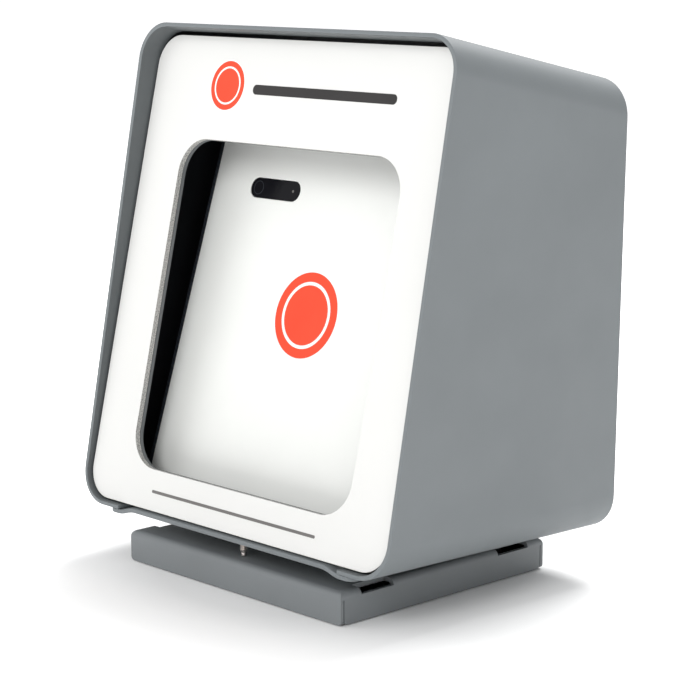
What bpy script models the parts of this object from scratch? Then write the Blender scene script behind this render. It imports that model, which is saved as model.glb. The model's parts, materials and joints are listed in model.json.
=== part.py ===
"""Radar launch monitor in its folded-metal protective case, on a tilting base.

Metres, +Z up, the front of the object faces -Y and +X is its right-hand side seen from the front.
The origin is on the ground, under the middle of the object's bounding box.
"""
import math

import bmesh
import bpy
from mathutils import Matrix, Vector

MM = 0.001
GAP = 0.3 * MM                      # clearance between pieces that touch

# ---- case: a folded sheet sleeve with a leaning front and a roof that falls to the rear ----
CASE_WIDTH = 296 * MM
CASE_DEPTH = 210 * MM               # along the bottom
FRONT_TOP_Z = 322.6 * MM
REAR_TOP_Z = 293.5 * MM
FRONT_LEAN = math.radians(9.7)
CASE_TILT = math.radians(1.18)      # front raised by the tilt screw at rest
SHEET = 3 * MM
CASE_BEND = 24 * MM                 # outer radius of the case's bends
BEND_STEPS = 6
FLANGE_END = 106.5 * MM               # half the gap between the in-turned bottom flanges

# ---- case floor: a sheet whose ends joggle down and lap under the flanges ----
FLOOR_MIDDLE = 94 * MM
JOGGLE_END = 105 * MM
LAP_END = 118 * MM
FLOOR_FRONT = 1.2 * MM
FLOOR_REAR = CASE_DEPTH - 2 * MM

# ---- fascia: white panel on a grey frame, leaning a little more than the case's rim ----
FASCIA_LEAN = math.radians(11.88)
FASCIA_SETBACK = 2.8 * MM
FASCIA_BOTTOM = 4.3 * MM
FASCIA_TOP = 321.0 * MM
FASCIA_THICK = 4 * MM
FRAME_THICK = 2.5 * MM
FRAME_DROP = 1 * MM                 # the grey frame's top stops this far below the panel's
FASCIA_MARGIN = 1.5 * MM
FASCIA_RADIUS = 20.5 * MM
WINDOW_WIDTH = 209 * MM
WINDOW_BOTTOM = 31.5 * MM
WINDOW_TOP = 252.6 * MM
WINDOW_RADIUS = 24 * MM

# ---- base: an open-bottomed tray ----
BASE_WIDTH = 205.2 * MM
BASE_DEPTH = 185 * MM
BASE_HEIGHT = 21.6 * MM
BASE_BEND = 4.5 * MM
FLANGE_CLEARANCE = 0.8 * MM         # the flanges stop this far above the ground
SLOT_SPANS = ((17.5 * MM, 45.5 * MM), (141 * MM, 170 * MM))
SLOT_BOTTOM = 17.5 * MM
SLOT_REACH = 9 * MM                 # how far a slot runs in from the side
FOOT_RADIUS = 8 * MM
FOOT_X = 78 * MM
FOOT_INSET = 26 * MM

# ---- hinge between base and case, and the tilt screw ----
HINGE_Y = 168 * MM                  # from the base's front
KNUCKLE_RADIUS = 3.4 * MM
HINGE_Z = BASE_HEIGHT + GAP + KNUCKLE_RADIUS
HINGE_WIDTH = 96 * MM
LEAF_DEPTH = 26 * MM
LEAF_THICK = 2 * MM
RIVET_X = 34 * MM
RIVET_RADIUS = 1.7 * MM
RIVET_HEAD = 3.4 * MM
RIVET_DOME = 1.6 * MM
RIVET_TAIL = 1.2 * MM
UPPER_RIVET_X = RIVET_X - 12 * MM   # clear of the rivets below
SCREW_Y = 11.2 * MM                 # from the base's front
SCREW_RADIUS = 2.5 * MM
SCREW_LENGTH = 38 * MM
TIP_RADIUS = 1.5 * MM
TIP_LENGTH = 2.5 * MM
NUT_RADIUS = 4.6 * MM
NUT_HEIGHT = 4 * MM
SOCKET_RADIUS = 1.5 * MM
SOCKET_DEPTH = 3 * MM

# ---- launch monitor: a nearly square radar unit whose bottom slopes up to the rear ----
UNIT_SIZE = 242.3 * MM              # width, and height at the rear
UNIT_TAIL = 7.5 * MM                # how much further down the front reaches
TAIL_FRONT = 6 * MM                 # depth of the level part of the bottom
UNIT_THICK = 54 * MM
UNIT_RADIUS = 10 * MM
UNIT_LEAN = math.radians(16.57)
UNIT_FOOT_Y = 37.1 * MM             # lower front edge, in the case
UNIT_FOOT_Z = 24.1 * MM
FACE_THICK = 3 * MM
FACE_INSET = 4 * MM                 # rim, then an open seam round the face
RIM_SETBACK = 0.9 * MM
SEAM_Y = 26.5 * MM                  # back of the middle frame
WALL = 2.8 * MM
CORNER_BLOCK = 30 * MM              # inner corner radius, which leaves solid screw corners
SCREW_INSET = 8.5 * MM
PILL_WIDTH = 49 * MM
PILL_HEIGHT = 13.8 * MM
PILL_X = -56 * MM
PILL_Z = 198 * MM
LENS_X = PILL_X - 16.5 * MM
LED_X = PILL_X + 17.5 * MM
GLASS_BACK = 1.9 * MM
LENS_FRONT = 2.3 * MM
GASKET_OUTER = 3 * MM               # in from the unit's outline
GASKET_INNER = 5 * MM
THREAD_RADIUS = 1.4 * MM            # shell screws
HEAD_RADIUS = 2.8 * MM
HEAD_HEIGHT = 2 * MM
SHELL_SCREW_LENGTH = 34 * MM
STAND_AXIS_Z = 200 * MM
STAND_LENGTH = 130 * MM
STAND_WIDTH = 100 * MM
STAND_THICK = 4 * MM
STAND_AXIS_Y = UNIT_THICK + 4.0 * MM
STAND_KNUCKLE = 3.5 * MM
LUG_WIDTH = 6 * MM
LUG_HALF_HEIGHT = 5 * MM
BUTTON_X = 60 * MM
BUTTON_Y = 41 * MM
BUTTON_RADIUS = 5.5 * MM
PORT_X = 30 * MM
PORT_Z = 58 * MM
PORT_DEPTH = 7.4 * MM
TRIPOD_RADIUS = 5 * MM
TRIPOD_BORE = 3.2 * MM

# ---- cradle that holds the unit ----
PAD_THICK = 1.2 * MM
BACK_PAD = 4 * MM
CRADLE_SHEET = 1.5 * MM
CRADLE_HALF = 100 * MM
CRADLE_TOP = 150 * MM
CRADLE_GATE = 62 * MM               # half width of the open middle of the cradle's back
LIP_HEIGHT = 3.5 * MM
GATE_BOTTOM = 30 * MM
GATE_RADIUS = 12 * MM
LEDGE_PAD_INSET = 15 * MM
STRIP_HALF = 14 * MM                # half width of a back pad
GUSSET_X = 90 * MM
GUSSET_REACH = 60 * MM              # behind the cradle's corner, on the floor
GUSSET_TOE = 20 * MM
FOAM_CLEAR = 0.6 * MM
FOAM_BOTTOM = 40 * MM
FOAM_TOP = 130 * MM

# ---- rear door, its hinges and latch ----
DOOR_THICK = 2.5 * MM
DOOR_OUTER_Y = CASE_DEPTH - 5 * MM
DOOR_MARGIN = 1.5 * MM
DOOR_RADIUS = 28 * MM               # more than the case's bend, so that the hinge side swings clear
DOOR_AXIS_X = -138.5 * MM
DOOR_AXIS_Y = DOOR_OUTER_Y - 0.5 * MM
DOOR_KNUCKLE = 3.2 * MM
PIN_RADIUS = 1.5 * MM
DOOR_HINGE_HEIGHTS = {"lower": 50 * MM, "upper": 220 * MM}
KNUCKLE_LENGTH = 12 * MM
NOTCH_X = 70 * MM                   # cable notch
NOTCH_HALF = 15 * MM
NOTCH_HEIGHT = 14 * MM
LATCH_X = 124 * MM
LATCH_Z = 148 * MM
CAM_LENGTH = 18 * MM
CAM_HALF = 6 * MM
CAM_FRONT = -7.3 * MM
CAM_THICK = 2 * MM
KNOB_RADIUS = 9.5 * MM
SHAFT_RADIUS = 4.5 * MM
CAM_SHAFT = 3 * MM
KEEPER_HALF = 12 * MM
KEEPER_THICK = 2 * MM

INNER_HALF = CASE_WIDTH / 2 - SHEET
UNIT_HALF = UNIT_SIZE / 2
BASE_TOP = BASE_HEIGHT


def case_rear_y():
    """Y of the case's upper rear edge, from the case's lower front edge, with the case tilted."""
    return CASE_DEPTH * math.cos(CASE_TILT) + REAR_TOP_Z * math.sin(CASE_TILT)


CASE_FRONT_OFFSET = -7.6 * MM       # the case's lower front edge, from the base's front
CASE_FRONT_HEIGHT = 36.05 * MM
CASE_FRONT_Y = -case_rear_y() / 2
BASE_FRONT = CASE_FRONT_Y - CASE_FRONT_OFFSET

COLOURS = {
    "case_grey": ((0.225, 0.245, 0.255), 0.55, 0.0),
    "fascia_white": ((0.86, 0.86, 0.84), 0.5, 0.0),
    "frame_grey": ((0.10, 0.11, 0.12), 0.6, 0.0),
    "face_white": ((0.80, 0.81, 0.79), 0.4, 0.0),
    "shell_dark": ((0.025, 0.03, 0.037), 0.4, 0.0),
    "lens_glass": ((0.01, 0.01, 0.012), 0.05, 0.0),
    "steel": ((0.55, 0.54, 0.52), 0.35, 1.0),
    "brass": ((0.70, 0.52, 0.25), 0.35, 1.0),
    "rubber_black": ((0.02, 0.02, 0.02), 0.8, 0.0),
    "foam_black": ((0.015, 0.015, 0.016), 0.95, 0.0),
    "board_green": ((0.02, 0.13, 0.06), 0.5, 0.0),
    "cell_blue": ((0.05, 0.10, 0.25), 0.5, 0.0),
    "button_grey": ((0.08, 0.08, 0.085), 0.5, 0.0),
}
materials = {}
collections = {}


# ------------------------------------------------------------------ tools

def clear_scene():
    for obj in list(bpy.data.objects):
        bpy.data.objects.remove(obj, do_unlink=True)


def collection(name):
    if name not in collections:
        collections[name] = bpy.data.collections.new(name)
        bpy.context.scene.collection.children.link(collections[name])
    return collections[name]


def material(name):
    if name not in materials:
        colour, roughness, metallic = COLOURS[name]
        made = bpy.data.materials.new(name)
        made.use_nodes = True
        shader = made.node_tree.nodes["Principled BSDF"]
        shader.inputs["Base Color"].default_value = (*colour, 1)
        shader.inputs["Roughness"].default_value = roughness
        shader.inputs["Metallic"].default_value = metallic
        made.diffuse_color = (*colour, 1)
        materials[name] = made
    return materials[name]


def empty(name, at, lean=0.0, parent=None):
    """A reference frame; a positive lean tips its +Z towards +Y."""
    frame = bpy.data.objects.new(name, None)
    frame.empty_display_size = 0.02
    frame.location = at
    frame.rotation_euler = (-lean, 0, 0)
    frame.parent = parent
    collection("launch_monitor").objects.link(frame)
    return frame


def place(name, mesh, finish, parent, at=(0, 0, 0)):
    obj = bpy.data.objects.new(name, mesh)
    obj.location = at
    obj.parent = parent
    mesh.materials.clear()
    mesh.materials.append(material(finish))
    collection("launch_monitor").objects.link(obj)
    return obj


def mesh_of(obj):
    """Takes a scratch object's shape with its transform applied, and removes the object."""
    bpy.context.view_layer.update()
    graph = bpy.context.evaluated_depsgraph_get()
    mesh = bpy.data.meshes.new_from_object(obj.evaluated_get(graph))
    mesh.transform(obj.matrix_world)
    bpy.data.objects.remove(obj, do_unlink=True)
    work = bmesh.new()
    work.from_mesh(mesh)
    bmesh.ops.remove_doubles(work, verts=work.verts, dist=1e-6)
    bmesh.ops.recalc_face_normals(work, faces=work.faces)
    work.to_mesh(mesh)
    work.free()
    return mesh


def box_mesh(low, high):
    low = Vector(low)
    high = Vector(high)
    bpy.ops.mesh.primitive_cube_add(size=1, location=(low + high) / 2)
    cube = bpy.context.object
    cube.scale = high - low
    return mesh_of(cube)


def rod_mesh(radius, start, end, sides=24):
    start = Vector(start)
    end = Vector(end)
    along = end - start
    bpy.ops.mesh.primitive_cylinder_add(vertices=sides, radius=radius, depth=along.length,
                                        location=(start + end) / 2)
    rod = bpy.context.object
    rod.rotation_mode = "QUATERNION"
    rod.rotation_quaternion = along.to_track_quat("Z", "Y")
    return mesh_of(rod)


def arc(centre, radius, first, last, steps):
    points = []
    for i in range(steps + 1):
        angle = math.radians(first + (last - first) * i / steps)
        points.append((centre[0] + radius * math.cos(angle), centre[1] + radius * math.sin(angle)))
    return points


def rounded(left, right, bottom, top, radius, steps=6):
    """Outline of a rectangle with round corners, counter-clockwise."""
    points = arc((right - radius, bottom + radius), radius, -90, 0, steps)
    points += arc((right - radius, top - radius), radius, 0, 90, steps)
    points += arc((left + radius, top - radius), radius, 90, 180, steps)
    points += arc((left + radius, bottom + radius), radius, 180, 270, steps)
    return points


def outline_mesh(outlines, start, end, across="Y"):
    """Flat outlines, holes included, filled and given depth from start to end along one axis."""
    curve = bpy.data.curves.new("outline", "CURVE")
    curve.dimensions = "2D"
    curve.fill_mode = "BOTH"
    curve.extrude = abs(end - start) / 2
    for outline in outlines:
        spline = curve.splines.new("POLY")
        spline.points.add(len(outline) - 1)
        for point, (u, v) in zip(spline.points, outline):
            point.co = (u, v, 0, 1)
        spline.use_cyclic_u = True
    scratch = bpy.data.objects.new("outline", curve)
    bpy.context.scene.collection.objects.link(scratch)
    middle = (start + end) / 2
    if across == "Y":                                   # outline lies in X and Z
        scratch.matrix_world = Matrix.Translation((0, middle, 0)) @ Matrix.Rotation(math.pi / 2, 4, "X")
    elif across == "X":                                 # outline lies in Y and Z
        upright = Matrix(((0, 0, 1, middle), (1, 0, 0, 0), (0, 1, 0, 0), (0, 0, 0, 1)))
        scratch.matrix_world = upright
    else:                                               # outline lies in X and Y
        scratch.matrix_world = Matrix.Translation((0, 0, middle))
    return mesh_of(scratch)


def turned(name, profile, finish, parent, at, axis, steps=24):
    """A solid of revolution; the profile is (radius, height) from the top down, on its outer side."""
    mesh = bpy.data.meshes.new(name)
    mesh.from_pydata([(r, 0, h) for r, h in profile], [(i, i + 1) for i in range(len(profile) - 1)], [])
    obj = place(name, mesh, finish, parent, at)
    obj.rotation_mode = "QUATERNION"
    obj.rotation_quaternion = Vector(axis).to_track_quat("Z", "Y")
    screw = obj.modifiers.new("turn", "SCREW")
    screw.steps = steps
    screw.render_steps = steps
    screw.use_merge_vertices = True
    screw.merge_threshold = 0.00001
    mesh.shade_smooth()
    return obj


def folded(name, path, thickness, low, high, across, finish, parent):
    """A bent sheet: a path of (u, v) points swept from low to high, with its thickness to one side."""
    mesh = bpy.data.meshes.new(name)
    work = bmesh.new()
    rows = []
    for side in (low, high):
        row = []
        for u, v in path:
            spot = (side, u, v) if across == "X" else (u, side, v)
            row.append(work.verts.new(spot))
        rows.append(row)
    for i in range(len(path) - 1):
        work.faces.new((rows[0][i], rows[0][i + 1], rows[1][i + 1], rows[1][i]))
    work.to_mesh(mesh)
    work.free()
    obj = place(name, mesh, finish, parent)
    skin = obj.modifiers.new("thickness", "SOLIDIFY")
    skin.thickness = thickness
    skin.offset = -1
    skin.use_even_offset = True
    return obj


def cut(target, name, mesh, parent, operation="DIFFERENCE"):
    """Cuts a mesh out of the target, or joins it to the target."""
    cutter = bpy.data.objects.new(name, mesh)
    cutter.parent = parent
    cutter.display_type = "WIRE"
    cutter.hide_render = True
    collection("cutters").objects.link(cutter)
    boolean = target.modifiers.new(name, "BOOLEAN")
    boolean.operation = operation
    boolean.solver = "EXACT"
    boolean.object = cutter
    return target


def box(name, low, high, finish, parent):
    return place(name, box_mesh(low, high), finish, parent)


def rod(name, radius, start, end, finish, parent, sides=24):
    mesh = rod_mesh(radius, start, end, sides)
    mesh.shade_smooth()
    mesh.set_sharp_from_angle(angle=math.radians(40))
    return place(name, mesh, finish, parent)


# ------------------------------------------------------------------ reference frames

def make_frames():
    """The case's frame starts at its lower front edge; the hinge empties carry what moves."""
    axis_world = Vector((0, BASE_FRONT + HINGE_Y, HINGE_Z))
    corner_world = Vector((0, CASE_FRONT_Y, CASE_FRONT_HEIGHT))
    turn = Matrix.Rotation(-CASE_TILT, 4, "X")
    corner_local = turn.inverted() @ (corner_world - axis_world)
    frames = {"base": empty("base_frame", (0, BASE_FRONT, 0))}
    frames["hinge"] = empty("case_tilt_axis", axis_world, CASE_TILT)
    frames["case"] = empty("case_frame", corner_local, 0, frames["hinge"])
    frames["axis_in_case"] = -corner_local
    frames["fascia"] = empty("fascia_plane", (0, FASCIA_SETBACK, 0), FASCIA_LEAN, frames["case"])
    frames["unit"] = empty("unit_frame", (0, UNIT_FOOT_Y, UNIT_FOOT_Z), UNIT_LEAN, frames["case"])
    frames["door"] = empty("door_axis", (DOOR_AXIS_X, DOOR_AXIS_Y, 0), 0, frames["case"])
    screw_world = Vector((0, BASE_FRONT + SCREW_Y, BASE_TOP))
    frames["screw_foot"] = turn.inverted() @ (screw_world - corner_world)
    frames["screw"] = empty("tilt_screw_axis", frames["screw_foot"], 0, frames["case"])
    frames["stand"] = empty("stand_axis", (0, STAND_AXIS_Y, STAND_AXIS_Z), 0, frames["unit"])
    return frames


# ------------------------------------------------------------------ base

def make_base(frames):
    base = frames["base"]
    tray = base_tray(base)
    for side, x in (("left", -FOOT_X), ("right", FOOT_X)):
        for end, y in (("front", FOOT_INSET), ("rear", BASE_DEPTH - FOOT_INSET)):
            rod("foot_%s_%s" % (end, side), FOOT_RADIUS, (x, y, 0), (x, y, BASE_TOP - SHEET - GAP),
                "rubber_black", base)
    lower_leaf(tray, base)


def base_tray(base):
    """Top plate with four flanges folded down, round along the top bends."""
    half = BASE_WIDTH / 2
    mesh = bpy.data.meshes.new("base_tray")
    work = bmesh.new()
    bmesh.ops.create_cube(work, size=1)
    bmesh.ops.scale(work, vec=(BASE_WIDTH, BASE_DEPTH, BASE_HEIGHT - FLANGE_CLEARANCE), verts=work.verts)
    bmesh.ops.translate(work, vec=(0, BASE_DEPTH / 2, (BASE_HEIGHT + FLANGE_CLEARANCE) / 2),
                        verts=work.verts)
    work.faces.ensure_lookup_table()
    under = [f for f in work.faces if f.normal.z < -0.5]
    bmesh.ops.delete(work, geom=under, context="FACES_ONLY")
    top_edges = [e for e in work.edges if min(v.co.z for v in e.verts) > BASE_HEIGHT - MM]
    bmesh.ops.bevel(work, geom=top_edges, offset=BASE_BEND, segments=3, profile=0.5, affect="EDGES")
    work.to_mesh(mesh)
    work.free()
    tray = place("base_tray", mesh, "case_grey", base)
    skin = tray.modifiers.new("thickness", "SOLIDIFY")
    skin.thickness = SHEET
    skin.offset = -1
    skin.use_even_offset = True
    for side in (-1, 1):
        for number, (front, rear) in enumerate(SLOT_SPANS):
            xs = sorted((side * (half - SLOT_REACH), side * (half + MM)))
            slot = box_mesh((xs[0], front, SLOT_BOTTOM), (xs[1], rear, BASE_HEIGHT + MM))
            cut(tray, "slot_%s_%d" % ("left" if side < 0 else "right", number + 1), slot, base)
    return tray


def lower_leaf(tray, base):
    """Hinge leaf riveted to the base, with its two outer knuckles."""
    low = BASE_TOP + GAP
    leaf = box("hinge_leaf_lower", (-HINGE_WIDTH / 2, HINGE_Y - LEAF_DEPTH, low),
               (HINGE_WIDTH / 2, HINGE_Y, low + LEAF_THICK), "steel", base)
    third = HINGE_WIDTH / 6
    for side in (-1, 1):
        xs = sorted((side * (third + GAP), side * HINGE_WIDTH / 2))
        knuckle = rod_mesh(KNUCKLE_RADIUS, (xs[0], HINGE_Y, HINGE_Z), (xs[1], HINGE_Y, HINGE_Z))
        cut(leaf, "knuckle_%d" % side, knuckle, base, "UNION")
    relief = rod_mesh(KNUCKLE_RADIUS + 2 * GAP, (-third - GAP, HINGE_Y, HINGE_Z),
                      (third + GAP, HINGE_Y, HINGE_Z))
    cut(leaf, "knuckle_relief", relief, base)
    bore = rod_mesh(PIN_RADIUS + GAP, (-HINGE_WIDTH, HINGE_Y, HINGE_Z), (HINGE_WIDTH, HINGE_Y, HINGE_Z))
    cut(leaf, "lower_bore", bore, base)
    rivet_y = HINGE_Y - LEAF_DEPTH * 0.6
    rod("hinge_pin", PIN_RADIUS, (-HINGE_WIDTH / 2, HINGE_Y, HINGE_Z), (HINGE_WIDTH / 2, HINGE_Y, HINGE_Z),
        "steel", base)
    for side, x in (("left", -RIVET_X), ("right", RIVET_X)):
        hole = rod_mesh(RIVET_RADIUS + GAP, (x, rivet_y, BASE_TOP - 2 * SHEET),
                        (x, rivet_y, BASE_TOP + 2 * SHEET), 16)
        cut(leaf, "leaf_hole_" + side, hole, base)
        cut(tray, "tray_hole_" + side, hole, base)
        rivet("hinge_rivet_lower_" + side, (x, rivet_y, low + LEAF_THICK + GAP),
              LEAF_THICK + SHEET + 3 * GAP, base)


def rivet(name, at, grip, parent):
    """Dome above at, shank through the grip, formed tail below."""
    tail_radius = RIVET_HEAD * 0.8
    profile = [(0, RIVET_DOME), (RIVET_HEAD * 0.6, RIVET_DOME * 0.85), (RIVET_HEAD, RIVET_DOME * 0.35),
               (RIVET_HEAD, 0), (RIVET_RADIUS, 0), (RIVET_RADIUS, -grip), (tail_radius, -grip),
               (tail_radius, -grip - RIVET_TAIL), (0, -grip - RIVET_TAIL)]
    turned(name, profile, "steel", parent, at, (0, 0, 1), 12)


# ------------------------------------------------------------------ case

def make_case(frames):
    case = frames["case"]
    case_wrap(case)
    floor = case_floor(case)
    upper_leaf(floor, frames)
    tilt_nut(floor, frames)
    fascia(frames["fascia"])
    cradle(frames)
    side_foam(frames)


def wrap_point(x, slope_offset, flat_z, front):
    """Meets a line of the sleeve with the front plane or the rear plane, in the case's frame."""
    fall = (FRONT_TOP_Z - REAR_TOP_Z) / (CASE_DEPTH - FRONT_TOP_Z * math.tan(FRONT_LEAN))
    lean = math.tan(FRONT_LEAN)
    if flat_z is not None:
        return (x, flat_z * lean if front else CASE_DEPTH, flat_z)
    roof_at_zero = FRONT_TOP_Z + fall * FRONT_TOP_Z * lean
    level = roof_at_zero - slope_offset
    if front:
        z = level / (1 + fall * lean)
        return (x, z * lean, z)
    return (x, CASE_DEPTH, level - fall * CASE_DEPTH)


def wrap_section(front):
    """Outer surface from the left flange's end, up the left side, over the roof and down the right."""
    half = CASE_WIDTH / 2
    inner = half - CASE_BEND
    right = [(FLANGE_END, None, 0.0)]
    for x, z in arc((inner, CASE_BEND), CASE_BEND, -90, 0, BEND_STEPS):
        right.append((x, None, z))
    for x, z in arc((inner, 0), CASE_BEND, 0, 90, BEND_STEPS):
        right.append((x, CASE_BEND - z, None))
    left = [(-x, offset, z) for x, offset, z in reversed(right)]
    return [wrap_point(x, offset, z, front) for x, offset, z in right + left]


def case_wrap(case):
    """One folded sheet: flange, side, roof, side, flange, open front and rear."""
    mesh = bpy.data.meshes.new("case_wrap")
    work = bmesh.new()
    front = [work.verts.new(p) for p in wrap_section(True)]
    rear = [work.verts.new(p) for p in wrap_section(False)]
    for i in range(len(front) - 1):
        work.faces.new((front[i], rear[i], rear[i + 1], front[i + 1]))
    bmesh.ops.recalc_face_normals(work, faces=work.faces)
    roof = max(work.faces, key=lambda f: f.calc_center_median().z)
    if roof.normal.z < 0:
        bmesh.ops.reverse_faces(work, faces=work.faces)
    work.to_mesh(mesh)
    work.free()
    wrap = place("case_wrap", mesh, "case_grey", case)
    skin = wrap.modifiers.new("thickness", "SOLIDIFY")
    skin.thickness = SHEET
    skin.offset = -1
    skin.use_even_offset = True


def case_floor(case):
    """Bottom sheet, level with the flanges in the middle and lapped under them at its ends."""
    step = SHEET + GAP
    right = [(FLOOR_MIDDLE, 0.0), (JOGGLE_END, -step), (LAP_END, -step)]
    path = [(-x, z) for x, z in reversed(right)] + right
    return folded("case_floor", path, -SHEET, FLOOR_FRONT, FLOOR_REAR, "Y", "case_grey", case)


def upper_leaf(floor, frames):
    """Hinge leaf riveted under the case floor; its middle knuckle drops to the pin."""
    case = frames["case"]
    axis = frames["axis_in_case"]
    third = HINGE_WIDTH / 6 - GAP
    top = -GAP
    leaf = box("hinge_leaf_upper", (-HINGE_WIDTH / 2, axis.y - LEAF_DEPTH, top - LEAF_THICK),
               (HINGE_WIDTH / 2, axis.y + LEAF_THICK / 2, top), "steel", case)
    web = box_mesh((-third, axis.y - LEAF_THICK / 2, axis.z), (third, axis.y + LEAF_THICK / 2, top - MM))
    cut(leaf, "hinge_web", web, case, "UNION")
    knuckle = rod_mesh(KNUCKLE_RADIUS, (-third, axis.y, axis.z), (third, axis.y, axis.z))
    cut(leaf, "hinge_knuckle_middle", knuckle, case, "UNION")
    bore = rod_mesh(PIN_RADIUS + GAP, (-HINGE_WIDTH, axis.y, axis.z), (HINGE_WIDTH, axis.y, axis.z))
    cut(leaf, "upper_bore", bore, case)
    rivet_y = axis.y - LEAF_DEPTH * 0.6
    for side, x in (("left", -UPPER_RIVET_X), ("right", UPPER_RIVET_X)):
        hole = rod_mesh(RIVET_RADIUS + GAP, (x, rivet_y, -2 * SHEET), (x, rivet_y, 2 * SHEET), 16)
        cut(leaf, "upper_leaf_hole_" + side, hole, case)
        cut(floor, "floor_hole_" + side, hole, case)
        rivet("hinge_rivet_upper_" + side, (x, rivet_y, SHEET + GAP), LEAF_THICK + SHEET + 3 * GAP, case)


def tilt_nut(floor, frames):
    """Weld nut on the floor, which the tilt screw runs through."""
    case = frames["case"]
    foot = frames["screw_foot"]
    low = SHEET + GAP
    nut = rod("tilt_nut", NUT_RADIUS, (0, foot.y, low), (0, foot.y, low + NUT_HEIGHT), "steel", case, 6)
    bore = rod_mesh(SCREW_RADIUS + GAP, (0, foot.y, -SHEET), (0, foot.y, low + NUT_HEIGHT + SHEET))
    cut(nut, "nut_bore", bore, case)
    cut(floor, "screw_hole", bore, case)


def make_tilt_screw(frames):
    """Socket-ended stud that stands on a swivel tip; its frame is where the tip meets the base."""
    axis = frames["screw"]
    rod("screw_tip", TIP_RADIUS, (0, 0, GAP), (0, 0, GAP + TIP_LENGTH), "brass", axis, 16)
    low = 2 * GAP + TIP_LENGTH
    stud = rod("tilt_screw", SCREW_RADIUS, (0, 0, low), (0, 0, low + SCREW_LENGTH), "steel", axis)
    top = low + SCREW_LENGTH
    socket = rod_mesh(SOCKET_RADIUS, (0, 0, top - SOCKET_DEPTH), (0, 0, top + MM), 6)
    cut(stud, "hex_socket", socket, axis)


def fascia(frame):
    """White panel bonded to a grey frame; both share one rounded window."""
    half = INNER_HALF - FASCIA_MARGIN
    outer = rounded(-half, half, FASCIA_BOTTOM, FASCIA_TOP, FASCIA_RADIUS)
    window = rounded(-WINDOW_WIDTH / 2, WINDOW_WIDTH / 2, WINDOW_BOTTOM, WINDOW_TOP, WINDOW_RADIUS)
    place("fascia_panel", outline_mesh([outer, window], 0, FASCIA_THICK), "fascia_white", frame)
    back = FASCIA_THICK + GAP
    frame_bottom = FASCIA_BOTTOM + FASCIA_MARGIN
    frame_outer = rounded(-half, half, frame_bottom, FASCIA_TOP - FRAME_DROP, FASCIA_RADIUS)
    place("fascia_frame", outline_mesh([frame_outer, window], back, back + FRAME_THICK), "frame_grey",
          frame)


def unit_to_case(y, z):
    """A point of the unit's frame in the case's frame."""
    cosine = math.cos(UNIT_LEAN)
    sine = math.sin(UNIT_LEAN)
    return (UNIT_FOOT_Y + y * cosine + z * sine, UNIT_FOOT_Z - y * sine + z * cosine)


def bottom_z(y):
    """Height of the unit's underside, which rises to the rear."""
    return -UNIT_TAIL + max(0.0, y - TAIL_FRONT) * UNIT_TAIL / (UNIT_THICK - TAIL_FRONT)


def cradle(frames):
    """Sheet ledge with a front lip and a tall forked back, on two side gussets."""
    unit = frames["unit"]
    ledge_drop = 2 * GAP + PAD_THICK
    back_y = UNIT_THICK + BACK_PAD + 2 * GAP
    lip_y = -3 * GAP
    path = [(lip_y, LIP_HEIGHT - UNIT_TAIL), (lip_y, bottom_z(0) - ledge_drop),
            (TAIL_FRONT, bottom_z(0) - ledge_drop), (UNIT_THICK, -ledge_drop),
            (back_y, -ledge_drop), (back_y, CRADLE_TOP)]
    body = folded("cradle", path, -CRADLE_SHEET, -CRADLE_HALF, CRADLE_HALF, "X", "case_grey", unit)
    gate_top = CRADLE_TOP + 3 * GATE_RADIUS
    gate = outline_mesh([rounded(-CRADLE_GATE, CRADLE_GATE, GATE_BOTTOM, gate_top, GATE_RADIUS)],
                        back_y - 3 * CRADLE_SHEET, back_y + 3 * CRADLE_SHEET)
    cut(body, "cradle_gate", gate, unit)
    pad_end = CRADLE_HALF - LEDGE_PAD_INSET
    ends = (TAIL_FRONT + 3 * MM, UNIT_THICK - 6 * MM)
    under = [(y, bottom_z(y) - GAP - PAD_THICK) for y in ends]
    over = [(y, bottom_z(y) - 1.2 * GAP) for y in reversed(ends)]
    place("ledge_pad", outline_mesh([under + over], -pad_end, pad_end, "X"), "foam_black", unit)
    pad_x = (CRADLE_GATE + CRADLE_HALF) / 2
    for side, x in (("left", -pad_x), ("right", pad_x)):
        outline = rounded(x - STRIP_HALF, x + STRIP_HALF, 12 * MM, CRADLE_TOP - 6 * MM, 4 * MM, 3)
        strip = outline_mesh([outline], UNIT_THICK + GAP, UNIT_THICK + GAP + BACK_PAD)
        place("back_pad_" + side, strip, "foam_black", unit)
    for side, x in (("left", -GUSSET_X), ("right", GUSSET_X)):
        web = outline_mesh([gusset_outline(ledge_drop, back_y)], x - SHEET / 2, x + SHEET / 2, "X")
        place("cradle_gusset_" + side, web, "case_grey", frames["case"])


def gusset_outline(ledge_drop, back_y):
    """Web that fills the wedge under the ledge and braces the cradle's back from the floor."""
    under = ledge_drop + CRADLE_SHEET + 1.5 * GAP
    behind = back_y + CRADLE_SHEET + GAP
    floor_top = SHEET + GAP
    corner = unit_to_case(behind, -under)
    bend = unit_to_case(UNIT_THICK, -under)
    front_high = unit_to_case(TAIL_FRONT + MM, bottom_z(TAIL_FRONT) - under)
    upper = unit_to_case(behind, CRADLE_TOP - 10 * MM)
    toe = corner[0] + GUSSET_REACH
    return [(front_high[0], floor_top), (toe, floor_top), (toe, floor_top + GUSSET_TOE),
            (upper[0] + 8 * MM, upper[1]), upper, corner, bend, front_high]


def side_foam(frames):
    """Blocks between the unit's sides and the case, which centre the unit."""
    inner = UNIT_HALF + FOAM_CLEAR
    outer = INNER_HALF - FOAM_CLEAR
    for side, sign in (("left", -1), ("right", 1)):
        xs = sorted((sign * inner, sign * outer))
        block = outline_mesh([rounded(xs[0], xs[1], FOAM_BOTTOM, FOAM_TOP, 3 * MM, 2)], 22 * MM, 50 * MM)
        place("side_foam_" + side, block, "foam_black", frames["unit"])


# ------------------------------------------------------------------ rear door

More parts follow.
